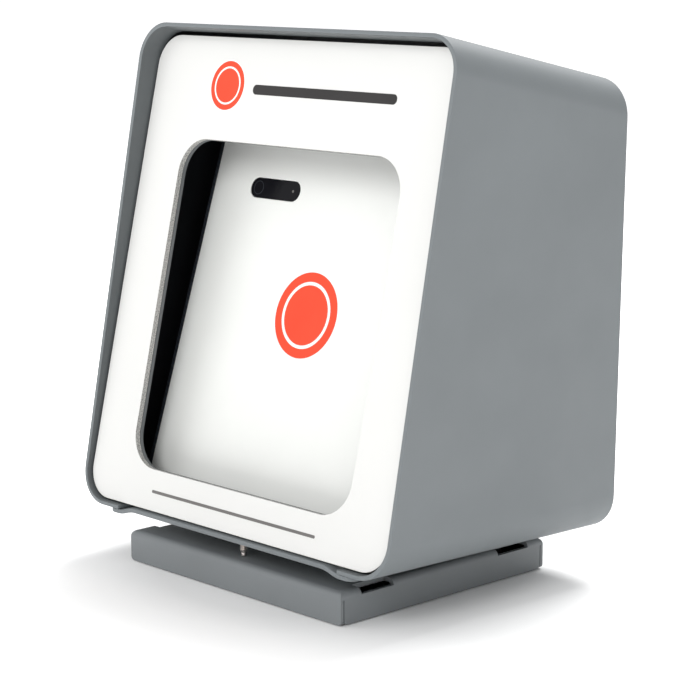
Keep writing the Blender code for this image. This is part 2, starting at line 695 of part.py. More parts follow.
def make_door(frames):
    door = frames["door"]
    case = frames["case"]
    top = REAR_TOP_Z - SHEET - DOOR_MARGIN - 2 * GAP
    bottom = SHEET + DOOR_MARGIN
    half = INNER_HALF - DOOR_MARGIN
    outer = rounded(-half - DOOR_AXIS_X, half - DOOR_AXIS_X, bottom, top, DOOR_RADIUS)
    front = DOOR_OUTER_Y - DOOR_THICK - DOOR_AXIS_Y
    panel = place("rear_door", outline_mesh([outer], front, front + DOOR_THICK), "case_grey", door)
    notch_x = NOTCH_X - DOOR_AXIS_X
    mouth = rounded(notch_x - NOTCH_HALF, notch_x + NOTCH_HALF, bottom - 2 * NOTCH_HALF,
                    bottom + NOTCH_HEIGHT, NOTCH_HALF / 2)
    notch = outline_mesh([mouth], front - MM, front + DOOR_THICK + MM)
    cut(panel, "cable_notch", notch, door)
    for level, z in DOOR_HINGE_HEIGHTS.items():
        door_hinge(panel, level, z, frames)
    latch(panel, frames)
    wall = INNER_HALF - GAP
    low = LATCH_Z - KEEPER_HALF
    high = LATCH_Z + KEEPER_HALF
    rear = DOOR_OUTER_Y - 2 * DOOR_THICK
    keeper = box("latch_keeper", (wall - KEEPER_THICK, rear - 20 * MM, low), (wall, rear, high), "steel",
                 case)
    tongue = box_mesh((wall - 9 * MM, rear - KEEPER_THICK, low), (wall - MM, rear, high))
    cut(keeper, "keeper_tongue", tongue, case, "UNION")


def door_hinge(panel, level, z, frames):
    """Lift-off hinge: the pin stands in a bracket on the case, and the door's knuckle sits over it."""
    door = frames["door"]
    case = frames["case"]
    split = z + KNUCKLE_LENGTH
    notch = box_mesh((-7 * MM, -6 * MM, z - 0.6 * MM), (4.2 * MM, 6 * MM, split + GAP))
    cut(panel, "hinge_notch_" + level, notch, door)
    knuckle = rod_mesh(DOOR_KNUCKLE, (0, 0, split + GAP), (0, 0, split + KNUCKLE_LENGTH))
    cut(panel, "door_knuckle_" + level, knuckle, door, "UNION")
    bore = rod_mesh(PIN_RADIUS + GAP, (0, 0, z - MM), (0, 0, split + KNUCKLE_LENGTH + MM), 16)
    cut(panel, "door_bore_" + level, bore, door)
    axis = Vector((DOOR_AXIS_X, DOOR_AXIS_Y, 0))
    arm = box("door_hinge_" + level, (-INNER_HALF + GAP, DOOR_AXIS_Y - 2 * MM, z),
              (DOOR_AXIS_X, DOOR_AXIS_Y + 1.4 * MM, split), "steel", case)
    barrel = rod_mesh(DOOR_KNUCKLE, axis + Vector((0, 0, z)), axis + Vector((0, 0, split)))
    cut(arm, "bracket_barrel_" + level, barrel, case, "UNION")
    low = axis + Vector((0, 0, z - MM))
    pin_hole = rod_mesh(PIN_RADIUS + GAP, low, axis + Vector((0, 0, split + MM)), 16)
    cut(arm, "bracket_bore_" + level, pin_hole, case)
    rod("door_pin_" + level, PIN_RADIUS, axis + Vector((0, 0, z)),
        axis + Vector((0, 0, split + KNUCKLE_LENGTH)), "steel", case, 16)


def latch(panel, frames):
    """Quarter-turn latch: a slotted head outside, a shaft through the door and a cam inside."""
    door = frames["door"]
    x = LATCH_X - DOOR_AXIS_X
    outer = DOOR_OUTER_Y - DOOR_AXIS_Y
    hole = rod_mesh(5 * MM, (x, outer - 6 * MM, LATCH_Z), (x, outer + 4 * MM, LATCH_Z))
    cut(panel, "latch_hole", hole, door)
    axis = empty("latch_axis", (x, outer, LATCH_Z), 0, door)
    profile = [(0, 4 * MM), (KNOB_RADIUS - MM, 4 * MM), (KNOB_RADIUS, 3 * MM), (KNOB_RADIUS, GAP),
               (SHAFT_RADIUS, GAP), (SHAFT_RADIUS, CAM_FRONT + GAP), (CAM_SHAFT, CAM_FRONT + GAP),
               (CAM_SHAFT, -13 * MM), (0, -13 * MM)]
    head = turned("latch_knob", profile, "steel", axis, (0, 0, 0), (0, 1, 0))
    cut(head, "latch_slot", box_mesh((-7 * MM, 2.4 * MM, -0.9 * MM), (7 * MM, 5 * MM, 0.9 * MM)), axis)
    tip = CAM_LENGTH - CAM_HALF
    outline = arc((0, 0), CAM_HALF, 180, 360, 8) + arc((0, tip), CAM_HALF, 0, 180, 8)
    bore = arc((0, 0), CAM_SHAFT + GAP, 0, 345, 23)
    back = CAM_FRONT - CAM_THICK
    place("latch_cam", outline_mesh([outline, bore], back, CAM_FRONT), "steel", axis)
    nut = rod("latch_nut", 5.5 * MM, (0, -12 * MM, 0), (0, back - GAP, 0), "steel", axis, 6)
    cut(nut, "latch_nut_bore", rod_mesh(CAM_SHAFT + GAP, (0, -14 * MM, 0), (0, -8 * MM, 0)), axis)


# ------------------------------------------------------------------ launch monitor unit

def unit_outline(inset, radius, tail=UNIT_TAIL):
    half = UNIT_HALF - inset
    return rounded(-half, half, inset - tail, UNIT_SIZE - inset, radius)


def slope_cut(target, unit):
    """Takes the unit's underside up to its sloping bottom plane."""
    back = UNIT_THICK + MM
    low = -2 * UNIT_TAIL
    wedge = [(TAIL_FRONT, low), (back, low), (back, bottom_z(back)), (TAIL_FRONT, bottom_z(0))]
    return cut(target, "bottom_slope", outline_mesh([wedge], -UNIT_SIZE, UNIT_SIZE, "X"), unit)


def pill(inset):
    half = PILL_WIDTH / 2 - inset
    tall = PILL_HEIGHT / 2 - inset
    return rounded(PILL_X - half, PILL_X + half, PILL_Z - tall, PILL_Z + tall, tall - 0.01 * MM, 8)


def make_unit(frames):
    unit = frames["unit"]
    face = outline_mesh([unit_outline(FACE_INSET, UNIT_RADIUS - FACE_INSET), pill(0)], 0, FACE_THICK)
    place("face_panel", face, "face_white", unit)
    place("camera_window", outline_mesh([pill(GAP)], GAP, GLASS_BACK), "lens_glass", unit)
    middle = middle_frame(unit)
    shell = rear_shell(unit)
    ring = [unit_outline(inset, UNIT_RADIUS - inset, 0) for inset in (GASKET_OUTER, GASKET_INNER)]
    place("shell_gasket", outline_mesh(ring, SEAM_Y + GAP, SEAM_Y + 1.3 * MM), "rubber_black", unit)
    shell_screws(middle, shell, unit)
    electronics(unit)
    power_button(shell, unit)
    ports(shell, unit)
    kickstand(shell, frames)


def middle_frame(unit):
    """Deep ring around the face panel, which sits in its front step."""
    rings = [unit_outline(0, UNIT_RADIUS), unit_outline(WALL, CORNER_BLOCK, 0)]
    frame = place("middle_frame", outline_mesh(rings, RIM_SETBACK, SEAM_Y), "shell_dark", unit)
    step = outline_mesh([unit_outline(FACE_INSET - GAP, UNIT_RADIUS - FACE_INSET)], -MM, FACE_THICK + GAP)
    cut(frame, "face_step", step, unit)
    return slope_cut(frame, unit)


def rear_shell(unit):
    """Rear tray with two lugs for the kickstand's pin."""
    front = SEAM_Y + 1.6 * MM
    shell = place("rear_shell", outline_mesh([unit_outline(0, UNIT_RADIUS)], front, UNIT_THICK),
                  "shell_dark", unit)
    hollow = outline_mesh([unit_outline(WALL, CORNER_BLOCK, 0)], front - MM, UNIT_THICK - WALL)
    cut(shell, "shell_hollow", hollow, unit)
    slope_cut(shell, unit)
    inner = STAND_WIDTH / 2 + 0.8 * MM
    for side in (-1, 1):
        xs = sorted((side * inner, side * (inner + LUG_WIDTH)))
        lug = box_mesh((xs[0], UNIT_THICK - MM, STAND_AXIS_Z - LUG_HALF_HEIGHT),
                       (xs[1], STAND_AXIS_Y + STAND_KNUCKLE, STAND_AXIS_Z + LUG_HALF_HEIGHT))
        cut(shell, "stand_lug_%d" % side, lug, unit, "UNION")
    reach = inner + 8 * MM
    bore = rod_mesh(PIN_RADIUS + GAP, (-reach, STAND_AXIS_Y, STAND_AXIS_Z),
                    (reach, STAND_AXIS_Y, STAND_AXIS_Z), 16)
    return cut(shell, "lug_bore", bore, unit)


def shell_screws(middle, shell, unit):
    """Four screws from the rear through the shell's corners into the middle frame."""
    far = UNIT_HALF - SCREW_INSET
    spots = {"lower_left": (-far, SCREW_INSET), "lower_right": (far, SCREW_INSET),
             "upper_left": (-far, UNIT_SIZE - SCREW_INSET), "upper_right": (far, UNIT_SIZE - SCREW_INSET)}
    head_y = UNIT_THICK - 0.6 * MM
    for spot, (x, z) in spots.items():
        hole = rod_mesh(THREAD_RADIUS + GAP, (x, 14 * MM, z), (x, UNIT_THICK + MM, z), 12)
        cut(shell, "screw_way_" + spot, hole, unit)
        cut(middle, "screw_thread_" + spot, hole, unit)
        seat_y = head_y - HEAD_HEIGHT - GAP
        recess = rod_mesh(HEAD_RADIUS + GAP, (x, seat_y, z), (x, UNIT_THICK + MM, z), 16)
        cut(shell, "screw_recess_" + spot, recess, unit)
        profile = [(0, 0), (HEAD_RADIUS, 0), (HEAD_RADIUS, -HEAD_HEIGHT), (THREAD_RADIUS, -HEAD_HEIGHT),
                   (THREAD_RADIUS, -SHELL_SCREW_LENGTH), (0, -SHELL_SCREW_LENGTH)]
        turned("shell_screw_" + spot, profile, "steel", unit, (x, head_y, z), (0, 1, 0), 12)


def electronics(unit):
    """Camera, antenna board, main board with its shield, and the battery."""
    lens = [(0, 0), (3 * MM, 0), (5 * MM, -1.2 * MM), (5 * MM, -7.2 * MM), (0, -7.2 * MM)]
    turned("camera_lens", lens, "lens_glass", unit, (LENS_X, LENS_FRONT, PILL_Z), (0, -1, 0))
    light = ((LED_X, LENS_FRONT, PILL_Z), (LED_X, 9.5 * MM, PILL_Z))
    rod("status_light", 1.1 * MM, *light, "face_white", unit, 12)
    box("camera_board", (PILL_X - 22 * MM, 9.8 * MM, PILL_Z - 7 * MM),
        (PILL_X + 22 * MM, 11 * MM, PILL_Z + 7 * MM), "board_green", unit)
    antenna = outline_mesh([rounded(-105 * MM, 105 * MM, 14 * MM, 222 * MM, 6 * MM, 2)], 12 * MM, 13.6 * MM)
    place("antenna_board", antenna, "board_green", unit)
    main = outline_mesh([rounded(-95 * MM, 95 * MM, 40 * MM, 205 * MM, 4 * MM, 2)], 20 * MM, 21.6 * MM)
    place("main_board", main, "board_green", unit)
    box("shield_can", (-40 * MM, 21.9 * MM, 130 * MM), (25 * MM, 26 * MM, 180 * MM), "steel", unit)
    box("battery_pack", (-70 * MM, 30 * MM, 85 * MM), (70 * MM, 48 * MM, 150 * MM), "cell_blue", unit)


def power_button(shell, unit):
    """Button on the unit's top edge, over its switch."""
    top = UNIT_SIZE
    hole = rod_mesh(BUTTON_RADIUS + GAP, (BUTTON_X, BUTTON_Y, top - 5 * MM), (BUTTON_X, BUTTON_Y, top + MM))
    cut(shell, "button_hole", hole, unit)
    profile = [(0, 1.4 * MM), (BUTTON_RADIUS - MM, 1.3 * MM), (BUTTON_RADIUS, 0.6 * MM),
               (BUTTON_RADIUS, -4 * MM), (0, -4 * MM)]
    turned("power_button", profile, "button_grey", unit, (BUTTON_X, BUTTON_Y, top), (0, 0, 1))
    box("power_switch", (BUTTON_X - 3 * MM, BUTTON_Y - 3 * MM, top - 9 * MM),
        (BUTTON_X + 3 * MM, BUTTON_Y + 3 * MM, top - 5.5 * MM), "button_grey", unit)


def ports(shell, unit):
    """Charging socket in the rear wall and a tripod thread in the bottom edge."""
    socket_back = UNIT_THICK - 0.4 * MM
    mouth = rounded(PORT_X - 4.5 * MM, PORT_X + 4.5 * MM, PORT_Z - 1.6 * MM, PORT_Z + 1.6 * MM, 1.5 * MM, 4)
    bore = rounded(PORT_X - 4 * MM, PORT_X + 4 * MM, PORT_Z - 1.1 * MM, PORT_Z + 1.1 * MM, MM, 4)
    hole = rounded(PORT_X - 4.8 * MM, PORT_X + 4.8 * MM, PORT_Z - 1.9 * MM, PORT_Z + 1.9 * MM, 1.8 * MM, 4)
    cut(shell, "port_hole", outline_mesh([hole], UNIT_THICK - 5 * MM, UNIT_THICK + MM), unit)
    port = place("charge_port", outline_mesh([mouth], socket_back - PORT_DEPTH, socket_back), "steel", unit)
    cut(port, "port_bore", outline_mesh([bore], socket_back - PORT_DEPTH * 0.8, socket_back + MM), unit)
    seat = rod_mesh(TRIPOD_RADIUS + GAP, (0, BUTTON_Y, -UNIT_TAIL), (0, BUTTON_Y, 5 * MM))
    cut(shell, "tripod_hole", seat, unit)
    insert = rod("tripod_insert", TRIPOD_RADIUS, (0, BUTTON_Y, GAP), (0, BUTTON_Y, 9 * MM), "brass", unit)
    cut(insert, "tripod_thread", rod_mesh(TRIPOD_BORE, (0, BUTTON_Y, -MM), (0, BUTTON_Y, 8 * MM)), unit)


def kickstand(shell, frames):
    """Folding rear leg, folded flat against the shell; it turns about its upper edge."""
    stand = frames["stand"]
    half = STAND_WIDTH / 2
    near = UNIT_THICK + GAP - STAND_AXIS_Y
    outer = rounded(-half, half, -STAND_LENGTH, -1 * MM, 8 * MM)
    leg = place("kickstand", outline_mesh([outer], near, near + STAND_THICK), "shell_dark", stand)
    barrel = rod_mesh(STAND_KNUCKLE, (-half, 0, 0), (half, 0, 0))
    cut(leg, "stand_barrel", barrel, stand, "UNION")
    cut(leg, "stand_bore", rod_mesh(PIN_RADIUS + GAP, (-half - MM, 0, 0), (half + MM, 0, 0), 16), stand)
    reach = half + LUG_WIDTH + 0.5 * MM
    rod("kickstand_pin", PIN_RADIUS, (-reach, STAND_AXIS_Y, STAND_AXIS_Z),
        (reach, STAND_AXIS_Y, STAND_AXIS_Z), "steel", frames["unit"], 16)


def main():
    clear_scene()
    frames = make_frames()
    make_base(frames)
    make_case(frames)
    make_tilt_screw(frames)
    make_door(frames)
    make_unit(frames)


main()
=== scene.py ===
"""Looks of the launch monitor in its folded-metal case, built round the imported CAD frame.

Metres throughout. Pieces are shaped in the local frame of the assembly they belong to (base, case,
fascia or unit) and then settled into the shared frame.
"""

import json
import math

import bmesh
import bpy
from mathutils import Matrix, Vector

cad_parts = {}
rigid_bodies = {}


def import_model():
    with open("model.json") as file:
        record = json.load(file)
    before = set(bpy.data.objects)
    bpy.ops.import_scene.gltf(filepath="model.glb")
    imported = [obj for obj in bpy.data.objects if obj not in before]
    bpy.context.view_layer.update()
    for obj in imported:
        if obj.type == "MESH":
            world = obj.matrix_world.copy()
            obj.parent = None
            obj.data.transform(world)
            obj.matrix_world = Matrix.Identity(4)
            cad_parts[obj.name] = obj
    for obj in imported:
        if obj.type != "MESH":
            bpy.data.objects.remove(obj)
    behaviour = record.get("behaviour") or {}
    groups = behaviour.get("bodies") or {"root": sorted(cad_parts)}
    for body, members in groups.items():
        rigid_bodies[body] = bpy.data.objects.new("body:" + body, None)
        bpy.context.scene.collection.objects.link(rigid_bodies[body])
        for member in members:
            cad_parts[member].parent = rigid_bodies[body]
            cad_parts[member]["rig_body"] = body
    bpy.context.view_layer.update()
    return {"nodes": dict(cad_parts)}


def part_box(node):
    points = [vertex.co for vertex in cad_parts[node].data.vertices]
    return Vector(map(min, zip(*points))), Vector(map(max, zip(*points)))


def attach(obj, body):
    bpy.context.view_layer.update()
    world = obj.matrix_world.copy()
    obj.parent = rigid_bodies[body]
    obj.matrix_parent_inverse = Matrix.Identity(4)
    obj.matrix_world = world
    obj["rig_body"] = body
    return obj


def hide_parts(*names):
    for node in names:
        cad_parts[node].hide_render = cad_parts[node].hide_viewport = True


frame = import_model()

MM = 0.001
GAP = 0.3 * MM
SHEET = 3 * MM                       # the folded steel of the case and the base

# ---- the case ----
CASE_HALF = 148 * MM
CASE_DEPTH = 210 * MM
CASE_TILT = math.radians(1.18)
FRONT_LEAN = math.radians(9.7)
ROOF_RIDGE = 332.96 * MM             # the roof's height, carried forward to y = 0
REAR_TOP = 293.5 * MM
CASE_BEND = 24 * MM
FLANGE_END = 106.5 * MM              # the in-turned bottom flanges end this far from the middle
FLOOR_MIDDLE = 94 * MM               # the floor is level out to here,
JOGGLE_END = 105 * MM                # steps down by here,
LAP_END = 118 * MM                   # and laps under the flanges to here
FLOOR_SETBACK = 1.2 * MM
JOGGLE_BEND = 3.2 * MM

# ---- the fascia ----
FASCIA_LEAN = math.radians(11.88)
FASCIA_SETBACK = 2.8 * MM
FASCIA_HALF = 143.5 * MM
FASCIA_BOTTOM = 4.3 * MM
FASCIA_TOP = 321 * MM
FASCIA_RADIUS = 20.5 * MM
FASCIA_THICK = 4 * MM
FRAME_THICK = 2.5 * MM
WINDOW = (-104.5 * MM, 104.5 * MM, 31.5 * MM, 252.6 * MM)
WINDOW_RADIUS = 24 * MM
INK_PROUD = 0.16 * MM                # printed marks stand this far out of their surface
INK_SUNK = 0.04 * MM                 # and reach this far into it

# ---- the base ----
BASE_HALF = 102.6 * MM
BASE_DEPTH = 185 * MM
BASE_HEIGHT = 21.6 * MM
BASE_BEND = 4.5 * MM
FLANGE_FOOT = 0.8 * MM
SLOT_SPANS = ((17.5 * MM, 45.5 * MM), (141 * MM, 170 * MM))
SLOT_BOTTOM = 17.5 * MM
SLOT_REACH = 9 * MM
SEAM_INSET = 2.3 * MM                # open corner seams: from the end,
SEAM_WIDTH = 0.7 * MM                # their width,
SEAM_REACH = 3.6 * MM                # and how deep they are cut
RIVET_RADIUS = 2 * MM
RIVET_X = 34 * MM
RIVET_Y = 152.4 * MM                 # 15.6 mm in front of the hinge

# ---- the tilt screw ----
SCREW_Y = 11.2 * MM                  # behind the base's front edge
SCREW_HOLE = 2.8 * MM
STUD_RADIUS = 2.5 * MM
STUD_LENGTH = 38 * MM
THREAD_PITCH = 0.8 * MM
THREAD_DEPTH = 0.46 * MM
THREAD_RINGS = 5                     # rings of corners in one pitch
SOCKET_RADIUS = 1.5 * MM
SOCKET_DEPTH = 3 * MM
TIP_RADIUS = 1.5 * MM
TIP_HEIGHT = 2.5 * MM

# ---- the unit ----
UNIT_HALF = 121.15 * MM
UNIT_SIZE = 242.3 * MM
UNIT_TAIL = 7.5 * MM                 # the front reaches this far below the rear
TAIL_FRONT = 6 * MM                  # and its underside slopes up from here
UNIT_THICK = 54 * MM
UNIT_LEAN = math.radians(16.57)
UNIT_FOOT = (0, 37.1 * MM, 24.1 * MM)
UNIT_RADIUS = 10 * MM
FACE_INSET = 4 * MM
FACE_THICK = 3 * MM
RIM_SETBACK = 0.9 * MM
SEAM_Y = 26.5 * MM
WALL = 2.8 * MM
CORNER_BOSS = 30 * MM                # the rim is solid at its corners, where the screws go
THREAD_INSET = 8.5 * MM
THREAD_RADIUS = 1.7 * MM
PILL_X = -56 * MM
PILL_Z = 198 * MM
PILL_HALF = (24.5 * MM, 6.9 * MM)
GLASS_BACK = 1.9 * MM
LENS_X = PILL_X - 16.5 * MM
LIGHT_X = PILL_X + 17.5 * MM

# ---- the door ----
DOOR_OUTER_Y = 205 * MM
DOOR_FIELD = (-104 * MM, 100 * MM, 44 * MM, 250 * MM)
LATCH_Z = 148 * MM
COLLAR_RADIUS = 11.5 * MM
COLLAR_HOLE = 5.2 * MM

# ---- the camera ----
CAMERA_SPOT = (1.0278, -0.9785, 0.4087)
CAMERA_AZIMUTH = math.radians(46.247)
CAMERA_RISE = math.radians(10.522)
LENS_LENGTH = 112.39                 # millimetres, on a 36 mm sensor


def local_frame(parent, origin, lean):
    """A frame at origin in its parent; a positive lean tips its +Z towards +Y."""
    return parent @ Matrix.Translation(origin) @ Matrix.Rotation(-lean, 4, "X")


sleeve_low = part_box("case_wrap")[0]
tray_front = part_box("base_tray")[0].y
WORLD = Matrix.Identity(4)
BASE = local_frame(WORLD, (0, tray_front, 0), 0)
CASE = local_frame(WORLD, (0, sleeve_low.y, sleeve_low.z + CASE_DEPTH * math.sin(CASE_TILT)),
                   CASE_TILT)
FASCIA = local_frame(CASE, (0, FASCIA_SETBACK, 0), FASCIA_LEAN)
UNIT = local_frame(CASE, UNIT_FOOT, UNIT_LEAN)
SCREW = local_frame(WORLD, (0, tray_front + SCREW_Y, BASE_HEIGHT), CASE_TILT)


# ------------------------------------------------------------------ workshop

def nothing():
    """Object mode, with nothing selected."""
    if bpy.context.object and bpy.context.object.mode != "OBJECT":
        bpy.ops.object.mode_set(mode="OBJECT")
    bpy.ops.object.select_all(action="DESELECT")


def only(piece):
    """Object mode, with this piece alone selected and active."""
    nothing()
    piece.select_set(True)
    bpy.context.view_layer.objects.active = piece
    return piece


def fresh(name):
    """Names the primitive just added and settles its place, scale and turn into its mesh."""
    piece = bpy.context.object
    piece.name = name
    piece.data.name = name
    bpy.ops.object.transform_apply(location=True, rotation=True, scale=True)
    return piece


def block(name, low, high):
    """A box between its lowest and highest corners."""
    nothing()
    low = Vector(low)
    high = Vector(high)
    bpy.ops.mesh.primitive_cube_add(size=1, location=(low + high) / 2, scale=high - low)
    return fresh(name)


def bar(name, radius, start, end, sides=48):
    """A round bar from start to end."""
    nothing()
    start = Vector(start)
    end = Vector(end)
    along = end - start
    bpy.ops.mesh.primitive_cylinder_add(vertices=sides, radius=radius, depth=along.length,
                                        location=(start + end) / 2,
                                        rotation=along.to_track_quat("Z", "Y").to_euler())
    return fresh(name)


def pick(piece, kind, test):
    """Edit mode, with only the faces, edges or corners selected that pass the test."""
    only(piece)
    bpy.ops.object.mode_set(mode="EDIT")
    bpy.ops.mesh.select_mode(type=kind)
    bpy.ops.mesh.select_all(action="DESELECT")
    work = bmesh.from_edit_mesh(piece.data)
    parts = {"FACE": work.faces, "EDGE": work.edges, "VERT": work.verts}[kind]
    chosen = [part for part in parts if test(part)]
    for part in chosen:
        part.select_set(True)
    work.select_flush_mode()
    bmesh.update_edit_mesh(piece.data)
    return chosen


def close(piece):
    """Back to object mode."""
    bpy.ops.object.mode_set(mode="OBJECT")
    return piece


def middle(edge):
    """The middle point of an edge."""
    return (edge.verts[0].co + edge.verts[1].co) / 2


def runs_along(edge, axis):
    """Whether an edge is parallel to one axis: 0, 1 or 2."""
    line = edge.verts[1].co - edge.verts[0].co
    return line.length > 1e-7 and abs(line.normalized()[axis]) > 0.99


def round_edges(piece, test, radius, steps):
    """Rounds the edges that pass the test."""
    if pick(piece, "EDGE", test):
        bpy.ops.mesh.bevel(offset=radius, segments=steps, profile=0.5, affect="EDGES")
    return close(piece)


def plate(name, outline, front, back, radius, steps=12):
    """An upright plate with round corners: the outline is (left, right, bottom, top)."""
    left, right, bottom, top = outline
    piece = block(name, (left, front, bottom), (right, back, top))
    return round_edges(piece, lambda e: runs_along(e, 1), radius, steps)


def apply(piece, kind, **settings):
    """Adds one modifier with these settings and applies it."""
    only(piece)
    modifier = piece.modifiers.new("step", kind)
    for key, value in settings.items():
        setattr(modifier, key, value)
    bpy.ops.object.modifier_apply(modifier=modifier.name)
    return piece


def carve(piece, *cutters):
    """Cuts each cutter out of the piece and throws the cutter away."""
    for cutter in cutters:
        apply(piece, "BOOLEAN", object=cutter, operation="DIFFERENCE", solver="EXACT")
        bpy.data.objects.remove(cutter, do_unlink=True)
    return piece


def tidy_mesh(piece, angle=0.5):
    """Merges doubles and joins faces that lie in one plane."""
    pick(piece, "FACE", lambda f: True)
    bpy.ops.mesh.remove_doubles(threshold=1e-6)
    bpy.ops.mesh.dissolve_limited(angle_limit=math.radians(angle), delimit={"MATERIAL"})
    return close(piece)


def soften(piece, width, steps=3, angle=40):
    """Rounds every edge that is still sharp, and shades the piece so that its flats stay flat."""
    apply(piece, "BEVEL", width=width, segments=steps, limit_method="ANGLE",
          angle_limit=math.radians(angle), miter_outer="MITER_ARC", use_clamp_overlap=True)
    only(piece)
    bpy.ops.object.shade_smooth_by_angle(angle=math.radians(38))
    return apply(piece, "WEIGHTED_NORMAL", keep_sharp=True, weight=60)


def eased_copy(node, name, width, steps=2):
    """A node's own shape, merged into clean faces and with its edges eased."""
    nothing()
    piece = frame["nodes"][node].copy()
    piece.data = piece.data.copy()
    for key in list(piece.keys()):
        del piece[key]
    piece.parent = None
    piece.name = name
    piece.data.name = name
    bpy.context.scene.collection.objects.link(piece)
    piece.hide_viewport = False
    tidy_mesh(piece, 1.0)
    piece.data.materials.clear()
    return soften(piece, width, steps, 35)


def coat(piece, *coats):
    """Adds finishes to the piece; the first one covers it until paint gives faces another."""
    for made in coats:
        piece.data.materials.append(made)
    return piece


def paint(piece, index, test):
    """Gives the faces that pass the test another of the piece's finishes."""
    for face in piece.data.polygons:
        if test(face):
            face.material_index = index
    return piece


def settle(piece, place, body, slot, *nodes):
    """Moves the finished mesh into the shared frame and mounts it on its body."""
    piece.data.transform(place)
    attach(piece, body)
    if nodes:
        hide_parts(*nodes)
    return piece


def body_of(node):
    """The moving or fixed body that a CAD node belongs to."""
    return frame["nodes"][node]["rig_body"]


# ------------------------------------------------------------------ finishes

def finish(name, colour, roughness, metallic=0.0, **sockets):
    """A plain starting material, with object coordinates ready for its patterns."""
    made = bpy.data.materials.new(name)
    made.use_nodes = True
    shader = made.node_tree.nodes["Principled BSDF"]
    shader.inputs["Base Color"].default_value = (*colour, 1)
    shader.inputs["Roughness"].default_value = roughness
    shader.inputs["Metallic"].default_value = metallic
    for socket, value in sockets.items():
        shader.inputs[socket.replace("_", " ")].default_value = value
    coords = made.node_tree.nodes.new("ShaderNodeTexCoord")
    coords.name = "coords"
    return made


def shader_of(made):
    """The material's surface shader."""
    return made.node_tree.nodes["Principled BSDF"]


def stretched(made, scale=(1, 1, 1), turn=(0, 0, 0)):
    """Object coordinates, stretched and turned."""
    mapping = made.node_tree.nodes.new("ShaderNodeMapping")
    mapping.inputs["Scale"].default_value = scale
    mapping.inputs["Rotation"].default_value = turn
    coords = made.node_tree.nodes["coords"]
    made.node_tree.links.new(coords.outputs["Object"], mapping.inputs["Vector"])
    return mapping.outputs["Vector"]


def clouds(made, scale, detail=3.0, rough=0.55, stretch=(1, 1, 1)):
    """A soft cloudy pattern."""
    noise = made.node_tree.nodes.new("ShaderNodeTexNoise")
    noise.inputs["Scale"].default_value = scale
    noise.inputs["Detail"].default_value = detail
    noise.inputs["Roughness"].default_value = rough
    made.node_tree.links.new(stretched(made, stretch), noise.inputs["Vector"])
    return noise.outputs["Fac"]


def cells(made, scale):
    """A pattern of round cells."""
    pattern = made.node_tree.nodes.new("ShaderNodeTexVoronoi")
    pattern.inputs["Scale"].default_value = scale
    made.node_tree.links.new(stretched(made), pattern.inputs["Vector"])
    return pattern.outputs["Distance"]


def tint(made, pattern, first, second, low=0.35, high=0.65):
    """Colour that drifts between two tones with the pattern."""
    ramp = made.node_tree.nodes.new("ShaderNodeValToRGB")
    ramp.color_ramp.elements[0].position = low
    ramp.color_ramp.elements[0].color = (*first, 1)
    ramp.color_ramp.elements[1].position = high
    ramp.color_ramp.elements[1].color = (*second, 1)
    made.node_tree.links.new(pattern, ramp.inputs["Fac"])
    made.node_tree.links.new(ramp.outputs["Color"], shader_of(made).inputs["Base Color"])


def gloss(made, pattern, low, high):
    """Roughness that drifts between two values with the pattern."""
    spread = made.node_tree.nodes.new("ShaderNodeMapRange")
    for socket, value in (("From Min", 0.3), ("From Max", 0.7), ("To Min", low), ("To Max", high)):
        spread.inputs[socket].default_value = value
    made.node_tree.links.new(pattern, spread.inputs["Value"])
    made.node_tree.links.new(spread.outputs["Result"], shader_of(made).inputs["Roughness"])


def relief(made, *layers):
    """Surface relief: each layer is (pattern, strength, distance in metres)."""
    previous = None
    for pattern, strength, distance in layers:
        bump = made.node_tree.nodes.new("ShaderNodeBump")
        bump.inputs["Strength"].default_value = strength
        bump.inputs["Distance"].default_value = distance
        made.node_tree.links.new(pattern, bump.inputs["Height"])
        if previous:
            made.node_tree.links.new(previous, bump.inputs["Normal"])
        previous = bump.outputs["Normal"]
    made.node_tree.links.new(previous, shader_of(made).inputs["Normal"])
    return made


def toned(colour, share):
    """The same colour, darker below a share of 1 and lighter above it."""
    return tuple(c * share for c in colour)


def powder_coat(name, colour):
    """Fine-textured satin powder coat: small pebbling over a slow orange peel."""
    made = finish(name, colour, 0.5, Specular_IOR_Level=0.42)
    tint(made, clouds(made, 9, 4), toned(colour, 0.96), toned(colour, 1.04))
    gloss(made, clouds(made, 30, 3), 0.46, 0.56)
    return relief(made, (clouds(made, 170, 2), 0.10, 0.0004),
                  (clouds(made, 1500, 2, 0.6), 0.22, 0.00009))


def printed_white():
    """Satin white face of the fascia board."""
    colour = (0.705, 0.705, 0.69)
    made = finish("fascia_white", colour, 0.42, Specular_IOR_Level=0.4)
    tint(made, clouds(made, 6, 3), toned(colour, 0.985), toned(colour, 1.01))
    gloss(made, clouds(made, 22, 3), 0.38, 0.47)
    return relief(made, (clouds(made, 60, 2), 0.05, 0.0005),
                  (clouds(made, 1900, 2), 0.10, 0.00006))


def chalky_edge():
    """Cut edge of the white board: chalky, speckled and a little pitted."""
    made = finish("board_edge", (0.5, 0.5, 0.47), 0.85)
    specks = clouds(made, 1100, 4, 0.7)
    tint(made, specks, (0.20, 0.20, 0.19), (0.56, 0.56, 0.54), 0.38, 0.62)
    return relief(made, (specks, 0.6, 0.0003), (cells(made, 900), 0.3, 0.0002))


def satin_face():
    """Smooth radar-transparent moulding, faintly mottled."""
    colour = (0.82, 0.83, 0.805)
    made = finish("face_white", colour, 0.34, Specular_IOR_Level=0.45)
    tint(made, clouds(made, 14, 4), toned(colour, 0.985), toned(colour, 1.012))
    gloss(made, clouds(made, 40, 2), 0.30, 0.38)
    return relief(made, (clouds(made, 2200, 2), 0.08, 0.00005))


